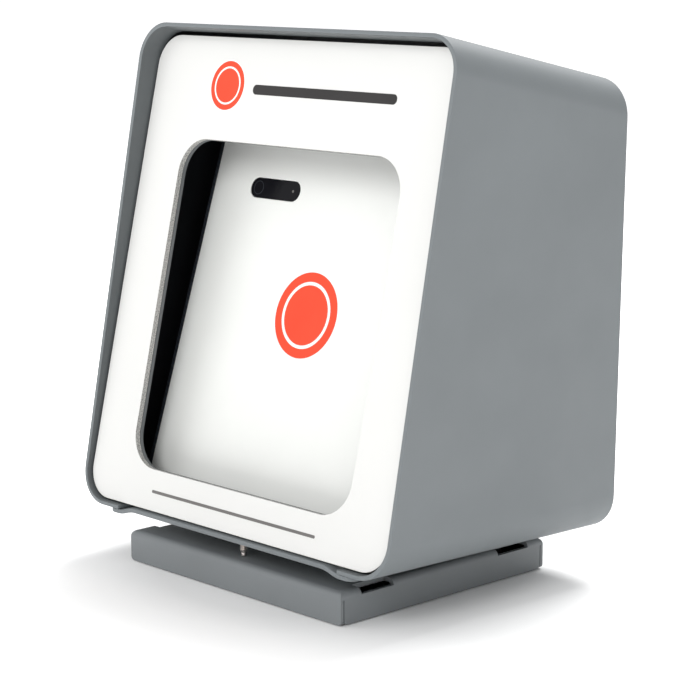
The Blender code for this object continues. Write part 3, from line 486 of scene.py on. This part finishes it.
def moulded(name, colour, roughness, grain=1300.0, strength=0.25):
    """Moulded plastic with a spark-eroded texture."""
    made = finish(name, colour, roughness, Specular_IOR_Level=0.45)
    tint(made, clouds(made, 25, 4), toned(colour, 0.85), toned(colour, 1.2))
    gloss(made, clouds(made, 60, 3), roughness - 0.05, roughness + 0.08)
    return relief(made, (clouds(made, grain, 3, 0.6), strength, 0.00012))


def black_glass():
    """Black glass with faint smears in its polish."""
    made = finish("camera_glass", (0.006, 0.006, 0.008), 0.06, Specular_IOR_Level=0.15)
    gloss(made, clouds(made, 90, 4), 0.04, 0.12)
    tint(made, clouds(made, 18, 2), (0.004, 0.004, 0.006), (0.010, 0.010, 0.012))
    return made


def machined(name, colour, roughness, stretch, scale=220.0):
    """Metal with fine tool marks drawn out along one direction."""
    made = finish(name, colour, roughness, 1.0)
    marks = clouds(made, scale, 4, 0.65, stretch)
    tint(made, marks, toned(colour, 0.78), toned(colour, 1.1), 0.3, 0.7)
    gloss(made, marks, roughness - 0.08, roughness + 0.14)
    return relief(made, (marks, 0.12, 0.00015), (clouds(made, 45, 2), 0.05, 0.0004))


def dull_rubber():
    """Black rubber with a dusty, uneven skin."""
    colour = (0.022, 0.022, 0.022)
    made = finish("rubber_black", colour, 0.78, Specular_IOR_Level=0.3)
    tint(made, clouds(made, 35, 4), toned(colour, 0.7), toned(colour, 1.5))
    return relief(made, (clouds(made, 700, 4, 0.65), 0.4, 0.0002))


def closed_cell_foam():
    """Closed-cell foam: small round pores and a dull dusty face."""
    made = finish("foam_black", (0.018, 0.018, 0.02), 0.95, Specular_IOR_Level=0.15,
                  Sheen_Weight=0.15)
    pores = cells(made, 900)
    tint(made, pores, (0.008, 0.008, 0.009), (0.032, 0.032, 0.035), 0.1, 0.6)
    return relief(made, (pores, 0.8, 0.0006), (cells(made, 2600), 0.5, 0.0002))


def circuit_board():
    """Green solder mask over copper tracks."""
    made = finish("board_green", (0.02, 0.13, 0.06), 0.35)
    tracks = made.node_tree.nodes.new("ShaderNodeTexBrick")
    tracks.inputs["Scale"].default_value = 90
    tracks.inputs["Mortar Size"].default_value = 0.06
    tracks.inputs["Color1"].default_value = (0.012, 0.10, 0.045, 1)
    tracks.inputs["Color2"].default_value = (0.018, 0.13, 0.06, 1)
    tracks.inputs["Mortar"].default_value = (0.05, 0.22, 0.10, 1)
    upright = stretched(made, turn=(math.radians(90) + UNIT_LEAN, 0, 0))
    made.node_tree.links.new(upright, tracks.inputs["Vector"])
    made.node_tree.links.new(tracks.outputs["Color"], shader_of(made).inputs["Base Color"])
    return relief(made, (tracks.outputs["Fac"], 0.3, 0.0001), (clouds(made, 600, 2), 0.1, 0.0001))


def ink(name, colour):
    """Screen-printed ink: even, with a faint mesh texture."""
    made = finish(name, colour, 0.45, Specular_IOR_Level=0.15)
    tint(made, clouds(made, 30, 3), toned(colour, 0.95), toned(colour, 1.04))
    return relief(made, (clouds(made, 2600, 2), 0.12, 0.00004))


CASE_PAINT = powder_coat("case_grey", (0.160, 0.176, 0.184))
BASE_PAINT = powder_coat("base_grey", (0.185, 0.199, 0.207))
FRAME_PAINT = powder_coat("frame_grey", (0.12, 0.13, 0.135))
# near-black inner faces of the case and the base: painted shade for their dark insides
PAINTED_SHADE_LINING = powder_coat("inside_painted_shade", (0.006, 0.007, 0.009))
# a darker copy of the case grey: painted shade on the inner rim ahead of the fascia
SHADED_RIM_PAINT = powder_coat("rim_grey_painted_shade", (0.098, 0.108, 0.112))
WHITE_BOARD = printed_white()
BOARD_EDGE = chalky_edge()
FACE_WHITE = satin_face()
SHELL_DARK = moulded("shell_dark", (0.022, 0.026, 0.033), 0.36)
STAND_DARK = moulded("stand_dark", (0.020, 0.022, 0.026), 0.45, 900.0, 0.35)
BUTTON_GREY = moulded("button_grey", (0.07, 0.07, 0.075), 0.6, 1800.0, 0.3)
CELL_BLUE = moulded("cell_blue", (0.04, 0.09, 0.24), 0.3, 300.0, 0.15)
GLASS = black_glass()
STEEL = machined("steel", (0.56, 0.55, 0.53), 0.32, (0.05, 1, 1))
STUD_STEEL = machined("stud_steel", (0.80, 0.74, 0.70), 0.30, (1, 1, 0.2), 400.0)
BRASS = machined("brass", (0.70, 0.52, 0.26), 0.3, (1, 1, 0.2), 400.0)
RUBBER = dull_rubber()
FOAM = closed_cell_foam()
BOARD = circuit_board()
CORAL = ink("mark_coral", (0.95, 0.075, 0.036))
MARK_WHITE = ink("mark_white", (0.86, 0.86, 0.84))
DARK_INK = ink("mark_grey", (0.038, 0.036, 0.036))
PALE_INK = ink("line_grey", (0.16, 0.155, 0.15))


# ------------------------------------------------------------------ case

def sleeve():
    """One folded sheet: flanges, sides and roof, cut along a leaning front."""
    piece = block("case_sleeve", (-CASE_HALF, 0, 0), (CASE_HALF, CASE_DEPTH, ROOF_RIDGE))
    pick(piece, "FACE", lambda f: abs(f.normal.y) > 0.9)
    bpy.ops.mesh.delete(type="ONLY_FACE")
    close(piece)
    pick(piece, "VERT", lambda v: v.co.y > CASE_DEPTH - MM and v.co.z > REAR_TOP)
    bpy.ops.transform.translate(value=(0, 0, REAR_TOP - ROOF_RIDGE))
    close(piece)
    round_edges(piece, lambda e: abs(e.verts[0].co.y - e.verts[1].co.y) > CASE_DEPTH / 2,
                CASE_BEND, 14)
    pick(piece, "FACE", lambda f: True)
    bpy.ops.mesh.bisect(plane_co=(0, 0, 0), clear_inner=False, clear_outer=True,
                        plane_no=(0, -math.cos(FRONT_LEAN), math.sin(FRONT_LEAN)))
    for side in (-1, 1):
        bpy.ops.mesh.select_all(action="SELECT")
        bpy.ops.mesh.bisect(plane_co=(side * FLANGE_END, 0, 0), plane_no=(1, 0, 0))
    close(piece)
    pick(piece, "FACE", lambda f: f.calc_center_median().z < MM
         and abs(f.calc_center_median().x) < FLANGE_END)
    bpy.ops.mesh.delete(type="FACE")
    close(piece)
    # the inner faces take the near-black coat, painted shade inside the case
    coat(piece, CASE_PAINT, PAINTED_SHADE_LINING)
    apply(piece, "SOLIDIFY", thickness=SHEET, offset=-1, use_even_offset=True, material_offset=1,
          material_offset_rim=0)

    # the near-black coat, painted shade, begins behind the fascia; the inner rim in front of it gets
    # a darker copy of the case grey, painted shade on the inner walls
    fascia_plane = Vector((0, FASCIA_SETBACK + FASCIA_THICK / 2, 0))
    inwards = Vector((0, math.cos(FASCIA_LEAN), -math.sin(FASCIA_LEAN)))
    pick(piece, "FACE", lambda f: f.material_index == 1)
    bpy.ops.mesh.bisect(plane_co=fascia_plane, plane_no=inwards)
    close(piece)
    coat(piece, SHADED_RIM_PAINT)
    paint(piece, 2, lambda f: f.material_index == 1 and (f.center - fascia_plane).dot(inwards) < 0)
    soften(piece, 0.75 * MM, 3, 50)
    settle(piece, CASE, "case", "case_grey", "case_wrap")


def case_floor_sheet():
    """Bottom sheet: level in the middle, joggled down to lap under the flanges."""
    piece = block("case_floor_sheet", (-FLOOR_MIDDLE, FLOOR_SETBACK, -SHEET),
                  (FLOOR_MIDDLE, CASE_DEPTH - 2 * MM, 0))
    pick(piece, "FACE", lambda f: f.normal.z < 0.9)
    bpy.ops.mesh.delete(type="FACE")
    close(piece)
    folds = ((FLOOR_MIDDLE, JOGGLE_END, -SHEET - GAP), (JOGGLE_END, LAP_END, 0))
    for side in (-1, 1):
        for start, end, drop in folds:
            pick(piece, "EDGE", lambda e: runs_along(e, 1) and middle(e).x * side > start - 0.1 * MM)
            bpy.ops.mesh.extrude_region_move(
                TRANSFORM_OT_translate={"value": (side * (end - start), 0, drop)})
            close(piece)
    round_edges(piece, lambda e: runs_along(e, 1) and abs(middle(e).x) < LAP_END - MM,
                JOGGLE_BEND, 4)
    apply(piece, "SOLIDIFY", thickness=SHEET, offset=1, use_even_offset=True)

    foot = CASE.inverted() @ Vector((0, tray_front + SCREW_Y, BASE_HEIGHT))
    cutters = [bar("screw_hole", SCREW_HOLE, (0, foot.y, -SHEET), (0, foot.y, 2 * SHEET), 32)]
    rivet_low, rivet_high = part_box("hinge_rivet_upper_left")
    rivet = CASE.inverted() @ ((rivet_low + rivet_high) / 2)
    for x in (-abs(rivet.x), abs(rivet.x)):
        cutters.append(bar("rivet_hole", RIVET_RADIUS, (x, rivet.y, -SHEET),
                           (x, rivet.y, 2 * SHEET), 24))
    carve(piece, *cutters)
    tidy_mesh(piece)
    round_edges(piece, lambda e: abs(middle(e).x) > LAP_END - 0.1 * MM and runs_along(e, 2),
                6 * MM, 8)
    soften(piece, 0.6 * MM, 2, 50)
    settle(coat(piece, CASE_PAINT), CASE, "case", "case_grey", "case_floor")


def window_cutter():
    """The rounded window that goes through the fascia board and its backing."""
    return plate("window", WINDOW, -5 * MM, 10 * MM, WINDOW_RADIUS, 16)


def fascia():
    """White board in front of a grey steel frame; one rounded window through both."""
    outline = (-FASCIA_HALF, FASCIA_HALF, FASCIA_BOTTOM, FASCIA_TOP)
    board = plate("fascia_board", outline, 0, FASCIA_THICK, FASCIA_RADIUS, 16)
    tidy_mesh(carve(board, window_cutter()))
    coat(board, WHITE_BOARD, BOARD_EDGE)
    paint(board, 1, lambda f: abs(f.normal.y) < 0.1)
    soften(board, 0.35 * MM, 2, 50)
    settle(board, FASCIA, "case", "fascia_white", "fascia_panel")

    back = FASCIA_THICK + GAP
    outline = (-FASCIA_HALF, FASCIA_HALF, FASCIA_BOTTOM + 1.5 * MM, FASCIA_TOP - MM)
    rear = plate("fascia_backing", outline, back, back + FRAME_THICK, FASCIA_RADIUS, 16)
    tidy_mesh(carve(rear, window_cutter()))
    soften(rear, 0.4 * MM, 2, 50)
    settle(coat(rear, FRAME_PAINT), FASCIA, "case", "frame_grey", "fascia_frame")


def disc(name, x, z, radius, front, back, hole=0.0):
    """A thin round disc that faces forward, or a ring when it has a hole."""
    piece = bar(name, radius, (x, front, z), (x, back, z), 96)
    if hole:
        carve(piece, bar("hole", hole, (x, front - MM, z), (x, back + MM, z), 96))
        tidy_mesh(piece)
    return soften(piece, 0.03 * MM, 1, 50)


def roundel(name, x, z, radius, place, body):
    """Plain coral disc with a pale ring round it and another inside its edge."""
    coral = disc(name + "_disc", x, z, radius, -INK_PROUD, INK_SUNK)
    rim = disc(name + "_rim", x, z, radius * 1.07, -0.75 * INK_PROUD, INK_SUNK, radius * 1.004)
    ring = disc(name + "_ring", x, z, radius * 0.78, -INK_PROUD - 0.06 * MM,
                -INK_PROUD - 0.005 * MM, radius * 0.70)
    settle(coat(coral, CORAL), place, body, "fascia_white")
    settle(coat(rim, MARK_WHITE), place, body, "fascia_white")
    settle(coat(ring, MARK_WHITE), place, body, "fascia_white")


def printed_marks():
    """Generic print: a roundel and a plain bar above the window, and a thin line below it."""
    roundel("header_mark", -68.5 * MM, 289 * MM, 16.2 * MM, FASCIA, "case")
    roundel("face_mark", 0.3 * MM, 118.6 * MM, 28.4 * MM, UNIT, "unit")
    header = (-43 * MM, 89 * MM, 284.4 * MM, 290.8 * MM)
    footer = (-77.8 * MM, 80.5 * MM, 16.1 * MM, 18.1 * MM)
    for name, outline, radius, steps, made in (("header_bar", header, 3.1 * MM, 8, DARK_INK),
                                               ("footer_line", footer, 0.95 * MM, 6, PALE_INK)):
        mark = plate(name, outline, -INK_PROUD, INK_SUNK, radius, steps)
        soften(mark, 0.03 * MM, 1, 50)
        settle(coat(mark, made), FASCIA, "case", "fascia_white")


def cradle():
    """Bent ledge with a front lip and a forked back, and a web under each side."""
    piece = eased_copy("cradle", "cradle_bracket", 0.5 * MM, 3)
    settle(coat(piece, FRAME_PAINT), WORLD, "case", "case_grey", "cradle")
    for side in ("left", "right"):
        node = "cradle_gusset_" + side
        web = eased_copy(node, "gusset_web_" + side, 0.4 * MM)
        settle(coat(web, FRAME_PAINT), WORLD, "case", "case_grey", node)


def foam_pad(node, name, crown):
    """A foam block with dimpled faces, drawn in towards its edges by its crown."""
    low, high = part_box(node)
    piece = eased_copy(node, name, 0.5 * MM, 2)
    tidy_mesh(piece, 1.0)
    apply(piece, "REMESH", mode="VOXEL", voxel_size=0.9 * MM)
    centre = (low + high) / 2
    half = (high - low) / 2
    for vert in piece.data.vertices:
        reach = vert.co - centre
        near_edge = sorted(abs(reach[axis] / half[axis]) for axis in range(3))[1]
        x, y, z = vert.co
        dimple = 0.12 * MM * abs(math.sin(900 * x) * math.sin(1100 * y) * math.sin(800 * z))
        vert.co -= reach.normalized() * (crown * near_edge ** 4 + dimple)
    only(piece)
    bpy.ops.object.shade_smooth()
    settle(coat(piece, FOAM), WORLD, body_of(node), "foam_black", node)


def foam():
    """Foam under the unit, behind it and at its sides."""
    foam_pad("ledge_pad", "foam_ledge", 0.2 * MM)
    for side in ("left", "right"):
        foam_pad("back_pad_" + side, "foam_back_" + side, 0.6 * MM)
        foam_pad("side_foam_" + side, "foam_side_" + side, 1.0 * MM)


# ------------------------------------------------------------------ base and tilt screw

def base_pan():
    """Tray with soft top bends, open corner seams, and two slots in each side."""
    piece = block("base_pan", (-BASE_HALF, 0, FLANGE_FOOT), (BASE_HALF, BASE_DEPTH, BASE_HEIGHT))
    pick(piece, "FACE", lambda f: f.normal.z < -0.9)
    bpy.ops.mesh.delete(type="ONLY_FACE")
    close(piece)
    round_edges(piece, lambda e: min(v.co.z for v in e.verts) > BASE_HEIGHT - MM, BASE_BEND, 7)
    # the pan's inner faces take the near-black coat, painted shade under the base
    coat(piece, BASE_PAINT, PAINTED_SHADE_LINING)
    apply(piece, "SOLIDIFY", thickness=SHEET, offset=-1, use_even_offset=True, material_offset=1,
          material_offset_rim=0)

    cutters = []
    seam_top = BASE_HEIGHT - BASE_BEND - 0.5 * MM
    for side in (-1, 1):
        inner, outer = sorted((side * (BASE_HALF - SLOT_REACH), side * (BASE_HALF + MM)))
        for front, back in SLOT_SPANS:
            cutters.append(block("slot", (inner, front, SLOT_BOTTOM),
                                 (outer, back, BASE_HEIGHT + MM)))
        inner, outer = sorted((side * (BASE_HALF - SEAM_REACH), side * (BASE_HALF + MM)))
        for y in (SEAM_INSET, BASE_DEPTH - SEAM_INSET - SEAM_WIDTH):
            cutters.append(block("seam", (inner, y, -MM), (outer, y + SEAM_WIDTH, seam_top)))
    for x in (-RIVET_X, RIVET_X):
        cutters.append(bar("rivet_hole", RIVET_RADIUS, (x, RIVET_Y, BASE_HEIGHT - 2 * SHEET),
                           (x, RIVET_Y, BASE_HEIGHT + SHEET), 24))
    carve(piece, *cutters)
    tidy_mesh(piece)

    def flange_corner(edge):
        """The lower corners of the flanges, on both sides of each corner seam."""
        spot = middle(edge)
        from_end = min(spot.y, BASE_DEPTH - spot.y)
        on_side = (runs_along(edge, 1) and abs(abs(spot.x) - BASE_HALF) < 0.05 * MM
                   and from_end < SHEET)
        at_seam = (runs_along(edge, 0) and abs(spot.x) > BASE_HALF - SHEET - 0.2 * MM
                   and 2.9 * MM < from_end < 3.2 * MM)
        return spot.z < FLANGE_FOOT + 0.05 * MM and (on_side or at_seam)

    round_edges(piece, flange_corner, 2.6 * MM, 5)
    soften(piece, 0.55 * MM, 3, 45)
    settle(piece, BASE, "base", "case_grey", "base_tray")


def feet():
    """Round rubber feet with a dished underside."""
    for corner in ("front_left", "front_right", "rear_left", "rear_right"):
        low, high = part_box("foot_" + corner)
        x = (low.x + high.x) / 2
        y = (low.y + high.y) / 2
        piece = bar("rubber_foot_" + corner, (high.x - low.x) / 2, (x, y, low.z), (x, y, high.z))
        pick(piece, "FACE", lambda f: f.normal.z < -0.9)
        bpy.ops.mesh.inset(thickness=2 * MM, depth=0)
        bpy.ops.mesh.inset(thickness=0.8 * MM, depth=-0.9 * MM)
        close(piece)
        soften(piece, 0.7 * MM, 3, 50)
        settle(coat(piece, RUBBER), WORLD, "base", "rubber_black", "foot_" + corner)


def hardware():
    """Hinge leaves, pins, rivets, screws, nuts and brackets with eased edges."""
    steel_parts = {
        "hinge_leaf_lower": "hinge_plate_lower", "hinge_leaf_upper": "hinge_plate_upper",
        "hinge_pin": "hinge_rod", "tilt_nut": "weld_nut",
        "door_hinge_lower": "door_bracket_lower", "door_hinge_upper": "door_bracket_upper",
        "door_pin_lower": "door_peg_lower", "door_pin_upper": "door_peg_upper",
        "latch_keeper": "keeper_plate", "latch_cam": "cam_plate", "latch_nut": "cam_nut",
        "kickstand_pin": "stand_rod", "charge_port": "charge_socket",
    }
    for corner in ("lower_left", "lower_right", "upper_left", "upper_right"):
        steel_parts["hinge_rivet_" + corner] = "rivet_" + corner
        steel_parts["shell_screw_" + corner] = "case_screw_" + corner
    for node, name in steel_parts.items():
        piece = eased_copy(node, name, 0.25 * MM)
        settle(coat(piece, STEEL), WORLD, body_of(node), "steel", node)
    insert = eased_copy("tripod_insert", "tripod_bush", 0.2 * MM)
    settle(coat(insert, BRASS), WORLD, "unit", "brass", "tripod_insert")


def tilt_stud():
    """Threaded stud with a hex socket, on a narrower turned tip."""
    low = 2 * GAP + TIP_HEIGHT
    high = low + STUD_LENGTH
    stud = bar("tilt_stud", STUD_RADIUS, (0, 0, low), (0, 0, high), 32)
    carve(stud, bar("socket", SOCKET_RADIUS, (0, 0, high - SOCKET_DEPTH), (0, 0, high + MM), 6))
    step = THREAD_PITCH / THREAD_RINGS
    for number in range(int((STUD_LENGTH - 2.4 * MM) / step) + 1):
        pick(stud, "FACE", lambda f: True)
        bpy.ops.mesh.bisect(plane_co=(0, 0, low + 1.2 * MM + number * step), plane_no=(0, 0, 1))
        close(stud)
    for vert in stud.data.vertices:
        across = math.hypot(vert.co.x, vert.co.y)
        if across < STUD_RADIUS * 0.98:
            continue
        turn = math.atan2(vert.co.y, vert.co.x) / math.tau
        phase = ((vert.co.z - low) / THREAD_PITCH - turn) % 1.0
        groove = THREAD_DEPTH * (1 - abs(2 * phase - 1))
        from_end = min(vert.co.z - low, high - vert.co.z)
        if from_end < 0.05 * MM:
            groove = 0.45 * MM
        elif from_end < MM:
            groove = max(groove, 0.1 * MM)
        vert.co.x *= (across - groove) / across
        vert.co.y *= (across - groove) / across
    only(stud)
    bpy.ops.object.shade_smooth_by_angle(angle=math.radians(50))
    settle(coat(stud, STUD_STEEL), SCREW, "tilt_screw", "steel", "tilt_screw")

    tip = bar("stud_tip", TIP_RADIUS, (0, 0, GAP), (0, 0, GAP + TIP_HEIGHT), 40)
    pick(tip, "FACE", lambda f: f.normal.z < -0.9)
    bpy.ops.mesh.inset(thickness=0.5 * MM, depth=0)
    close(tip)
    pick(tip, "FACE", lambda f: abs(f.normal.z) < 0.1)
    bpy.ops.mesh.bisect(plane_co=(0, 0, GAP + 1.6 * MM), plane_no=(0, 0, 1))
    close(tip)
    soften(tip, 0.3 * MM, 3, 40)
    settle(coat(tip, STUD_STEEL), SCREW, "screw_tip", "brass", "screw_tip")


# ------------------------------------------------------------------ door

def door_leaf():
    """Rear door with a cable notch and lift-off knuckles, and a field with a pressed border."""
    leaf = eased_copy("rear_door", "door_leaf", 0.5 * MM, 3)
    settle(coat(leaf, CASE_PAINT), WORLD, "door", "case_grey", "rear_door")
    pressed = plate("door_field", DOOR_FIELD, DOOR_OUTER_Y + 0.02 * MM, DOOR_OUTER_Y + 1.4 * MM,
                    14 * MM, 10)
    pick(pressed, "FACE", lambda f: f.normal.y > 0.9)
    bpy.ops.mesh.inset(thickness=7 * MM, depth=0)
    bpy.ops.mesh.inset(thickness=1.6 * MM, depth=-1.1 * MM)
    close(pressed)
    soften(pressed, 0.6 * MM, 3, 30)
    settle(coat(pressed, CASE_PAINT), CASE, "door", "case_grey")


def latch_head():
    """Slotted quarter-turn head, with a thin rubber collar round it on the door."""
    low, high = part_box("latch_knob")
    x = (low.x + high.x) / 2
    head = eased_copy("latch_knob", "latch_head", 0.3 * MM)
    settle(coat(head, STEEL), WORLD, "latch", "steel", "latch_knob")
    collar = bar("latch_collar", COLLAR_RADIUS, (x, DOOR_OUTER_Y + 0.03 * MM, LATCH_Z),
                 (x, DOOR_OUTER_Y + 0.24 * MM, LATCH_Z), 64)
    carve(collar, bar("hole", COLLAR_HOLE, (x, DOOR_OUTER_Y - MM, LATCH_Z),
                      (x, DOOR_OUTER_Y + 2 * MM, LATCH_Z)))
    tidy_mesh(collar)
    soften(collar, 0.05 * MM, 1, 50)
    settle(coat(collar, RUBBER), CASE, "door", "rubber_black")


# ------------------------------------------------------------------ unit

def unit_outline(inset, tail=UNIT_TAIL):
    """The unit's front outline, drawn in by the inset."""
    return (-UNIT_HALF + inset, UNIT_HALF - inset, inset - tail, UNIT_SIZE - inset)


def pill_plate(name, inset, front, back):
    """A plate in the shape of the camera window, drawn in by the inset."""
    half, tall = (size - inset for size in PILL_HALF)
    outline = (PILL_X - half, PILL_X + half, PILL_Z - tall, PILL_Z + tall)
    return plate(name, outline, front, back, tall - 0.02 * MM, 14)


def unit_front():
    """White face with its camera window, in a dark rim with a groove between them."""
    face_radius = UNIT_RADIUS - FACE_INSET
    face = plate("unit_face", unit_outline(FACE_INSET), 0, FACE_THICK, face_radius, 8)
    tidy_mesh(carve(face, pill_plate("pill", 0, -MM, 5 * MM)))
    soften(face, 0.55 * MM, 3, 50)
    settle(coat(face, FACE_WHITE), UNIT, "unit", "face_white", "face_panel")

    rim = plate("unit_rim", unit_outline(0), RIM_SETBACK, SEAM_Y, UNIT_RADIUS, 10)
    carve(rim, plate("inside", unit_outline(WALL, 0), -MM, 40 * MM, CORNER_BOSS, 12),
          plate("step", unit_outline(FACE_INSET - GAP), -MM, FACE_THICK + GAP, face_radius, 8))
    wedge = block("wedge", (-UNIT_SIZE, TAIL_FRONT, -4 * UNIT_TAIL),
                  (UNIT_SIZE, UNIT_THICK, -UNIT_TAIL))
    pick(wedge, "VERT", lambda v: v.co.y > UNIT_THICK - MM and v.co.z > -2 * UNIT_TAIL)
    bpy.ops.transform.translate(value=(0, 0, UNIT_TAIL))
    carve(rim, close(wedge))
    for x in (-UNIT_HALF + THREAD_INSET, UNIT_HALF - THREAD_INSET):
        for z in (THREAD_INSET, UNIT_SIZE - THREAD_INSET):
            carve(rim, bar("thread", THREAD_RADIUS, (x, 14 * MM, z), (x, 30 * MM, z), 16))
    tidy_mesh(rim)
    soften(rim, 0.95 * MM, 4, 50)
    settle(coat(rim, SHELL_DARK), UNIT, "unit", "shell_dark", "middle_frame")

    pane = pill_plate("camera_pane", GAP, GAP, GLASS_BACK)
    soften(pane, 0.35 * MM, 3, 50)
    settle(coat(pane, GLASS), UNIT, "unit", "lens_glass", "camera_window")


def window_rings():
    """Thin ring round the camera lens and a small dot over the status light, on the glass."""
    for name, x, radius, hole, made in (("lens_ring", LENS_X, 4.7 * MM, 4.25 * MM, SHELL_DARK),
                                        ("light_ring", LIGHT_X, 0.9 * MM, 0.0, PALE_INK)):
        ring = disc(name, x, PILL_Z, radius, 0.24 * MM, 0.32 * MM, hole)
        settle(coat(ring, made), UNIT, "unit", "shell_dark")


def unit_back():
    """Rear shell, its leg and its button with eased edges."""
    shell = eased_copy("rear_shell", "back_shell", 0.9 * MM, 3)
    settle(coat(shell, SHELL_DARK), WORLD, "unit", "shell_dark", "rear_shell")
    leg = eased_copy("kickstand", "stand_leg", 0.7 * MM, 3)
    settle(coat(leg, STAND_DARK), WORLD, "kickstand", "shell_dark", "kickstand")
    button = eased_copy("power_button", "push_button", 0.2 * MM)
    settle(coat(button, BUTTON_GREY), WORLD, "power_button", "button_grey", "power_button")


def inner_parts():
    """Parts inside the unit keep their CAD shape and get their own finishes."""
    coats = {"camera_lens": GLASS, "status_light": MARK_WHITE, "camera_board": BOARD,
             "antenna_board": BOARD, "main_board": BOARD, "shield_can": STEEL,
             "battery_pack": CELL_BLUE, "power_switch": BUTTON_GREY, "shell_gasket": RUBBER}
    for node, made in coats.items():
        for slot in frame["nodes"][node].material_slots:
            slot.material = made


# ------------------------------------------------------------------ studio

def surroundings():
    """Even white light from all round."""
    world = bpy.data.worlds.new("studio")
    bpy.context.scene.world = world
    world.use_nodes = True
    world.node_tree.nodes["Background"].inputs["Color"].default_value = (1, 1, 1, 1)
    world.node_tree.nodes["Background"].inputs["Strength"].default_value = 0.62


def paper_floor():
    """Wide pale floor whose paper glows softly away from the case; the glow fades out near the base,
    a painted shade round and under it.
    """
    nothing()
    bpy.ops.mesh.primitive_plane_add(size=90, location=(0, 0, 0))
    floor = fresh("floor")
    paper = finish("floor_paper", (0.9, 0.9, 0.9), 0.9, Specular_IOR_Level=0.1)
    links = paper.node_tree.links
    reach = paper.node_tree.nodes.new("ShaderNodeVectorMath")
    reach.operation = "LENGTH"
    links.new(paper.node_tree.nodes["coords"].outputs["Object"], reach.inputs[0])
    # no glow within 0.125 m of the middle, full glow from 0.33 m out: painted shade on the floor
    # round and under the base
    glow = paper.node_tree.nodes.new("ShaderNodeMapRange")
    for socket, value in (("From Min", 0.125), ("From Max", 0.33), ("To Min", 0.0), ("To Max", 0.54)):
        glow.inputs[socket].default_value = value
    links.new(reach.outputs["Value"], glow.inputs["Value"])
    links.new(glow.outputs["Result"], shader_of(paper).inputs["Emission Strength"])
    shader_of(paper).inputs["Emission Color"].default_value = (1, 1, 1, 1)
    tint(paper, clouds(paper, 3, 2), (0.895, 0.895, 0.895), (0.905, 0.905, 0.905))
    coat(floor, paper)


def lamps():
    """Three soft lamps aimed at the case: front left, front right, and high behind it."""
    target = Vector((0, 0, 0.15))
    for name, spot, size, power in (("key_lamp", (-1.5, -1.9, 1.9), 1.4, 10.0),
                                    ("front_lamp", (1.0, -2.6, 1.7), 1.3, 38.0),
                                    ("top_lamp", (-0.4, 1.4, 2.4), 1.3, 80.0)):
        bpy.ops.object.light_add(type="AREA", location=spot)
        lamp = bpy.context.object
        lamp.name = name
        lamp.data.size = size
        lamp.data.energy = power
        lamp.rotation_euler = (target - Vector(spot)).to_track_quat("-Z", "Y").to_euler()


def camera():
    """A long lens from the front right, a little above the case."""
    lens = bpy.data.cameras.new("camera")
    lens.sensor_width = 36
    lens.lens = LENS_LENGTH
    lens.clip_start = 0.05
    lens.clip_end = 200
    holder = bpy.data.objects.new("camera", lens)
    bpy.context.scene.collection.objects.link(holder)
    level = math.cos(CAMERA_RISE)
    back = Vector((math.sin(CAMERA_AZIMUTH) * level, -math.cos(CAMERA_AZIMUTH) * level,
                   math.sin(CAMERA_RISE)))
    holder.location = CAMERA_SPOT
    holder.rotation_euler = (-back).to_track_quat("-Z", "Y").to_euler()
    bpy.context.scene.camera = holder


sleeve()
case_floor_sheet()
fascia()
printed_marks()
cradle()
foam()
base_pan()
feet()
hardware()
tilt_stud()
door_leaf()
latch_head()
unit_front()
window_rings()
unit_back()
inner_parts()

bpy.context.scene.view_settings.view_transform = "Standard"
surroundings()
paper_floor()
lamps()
camera()
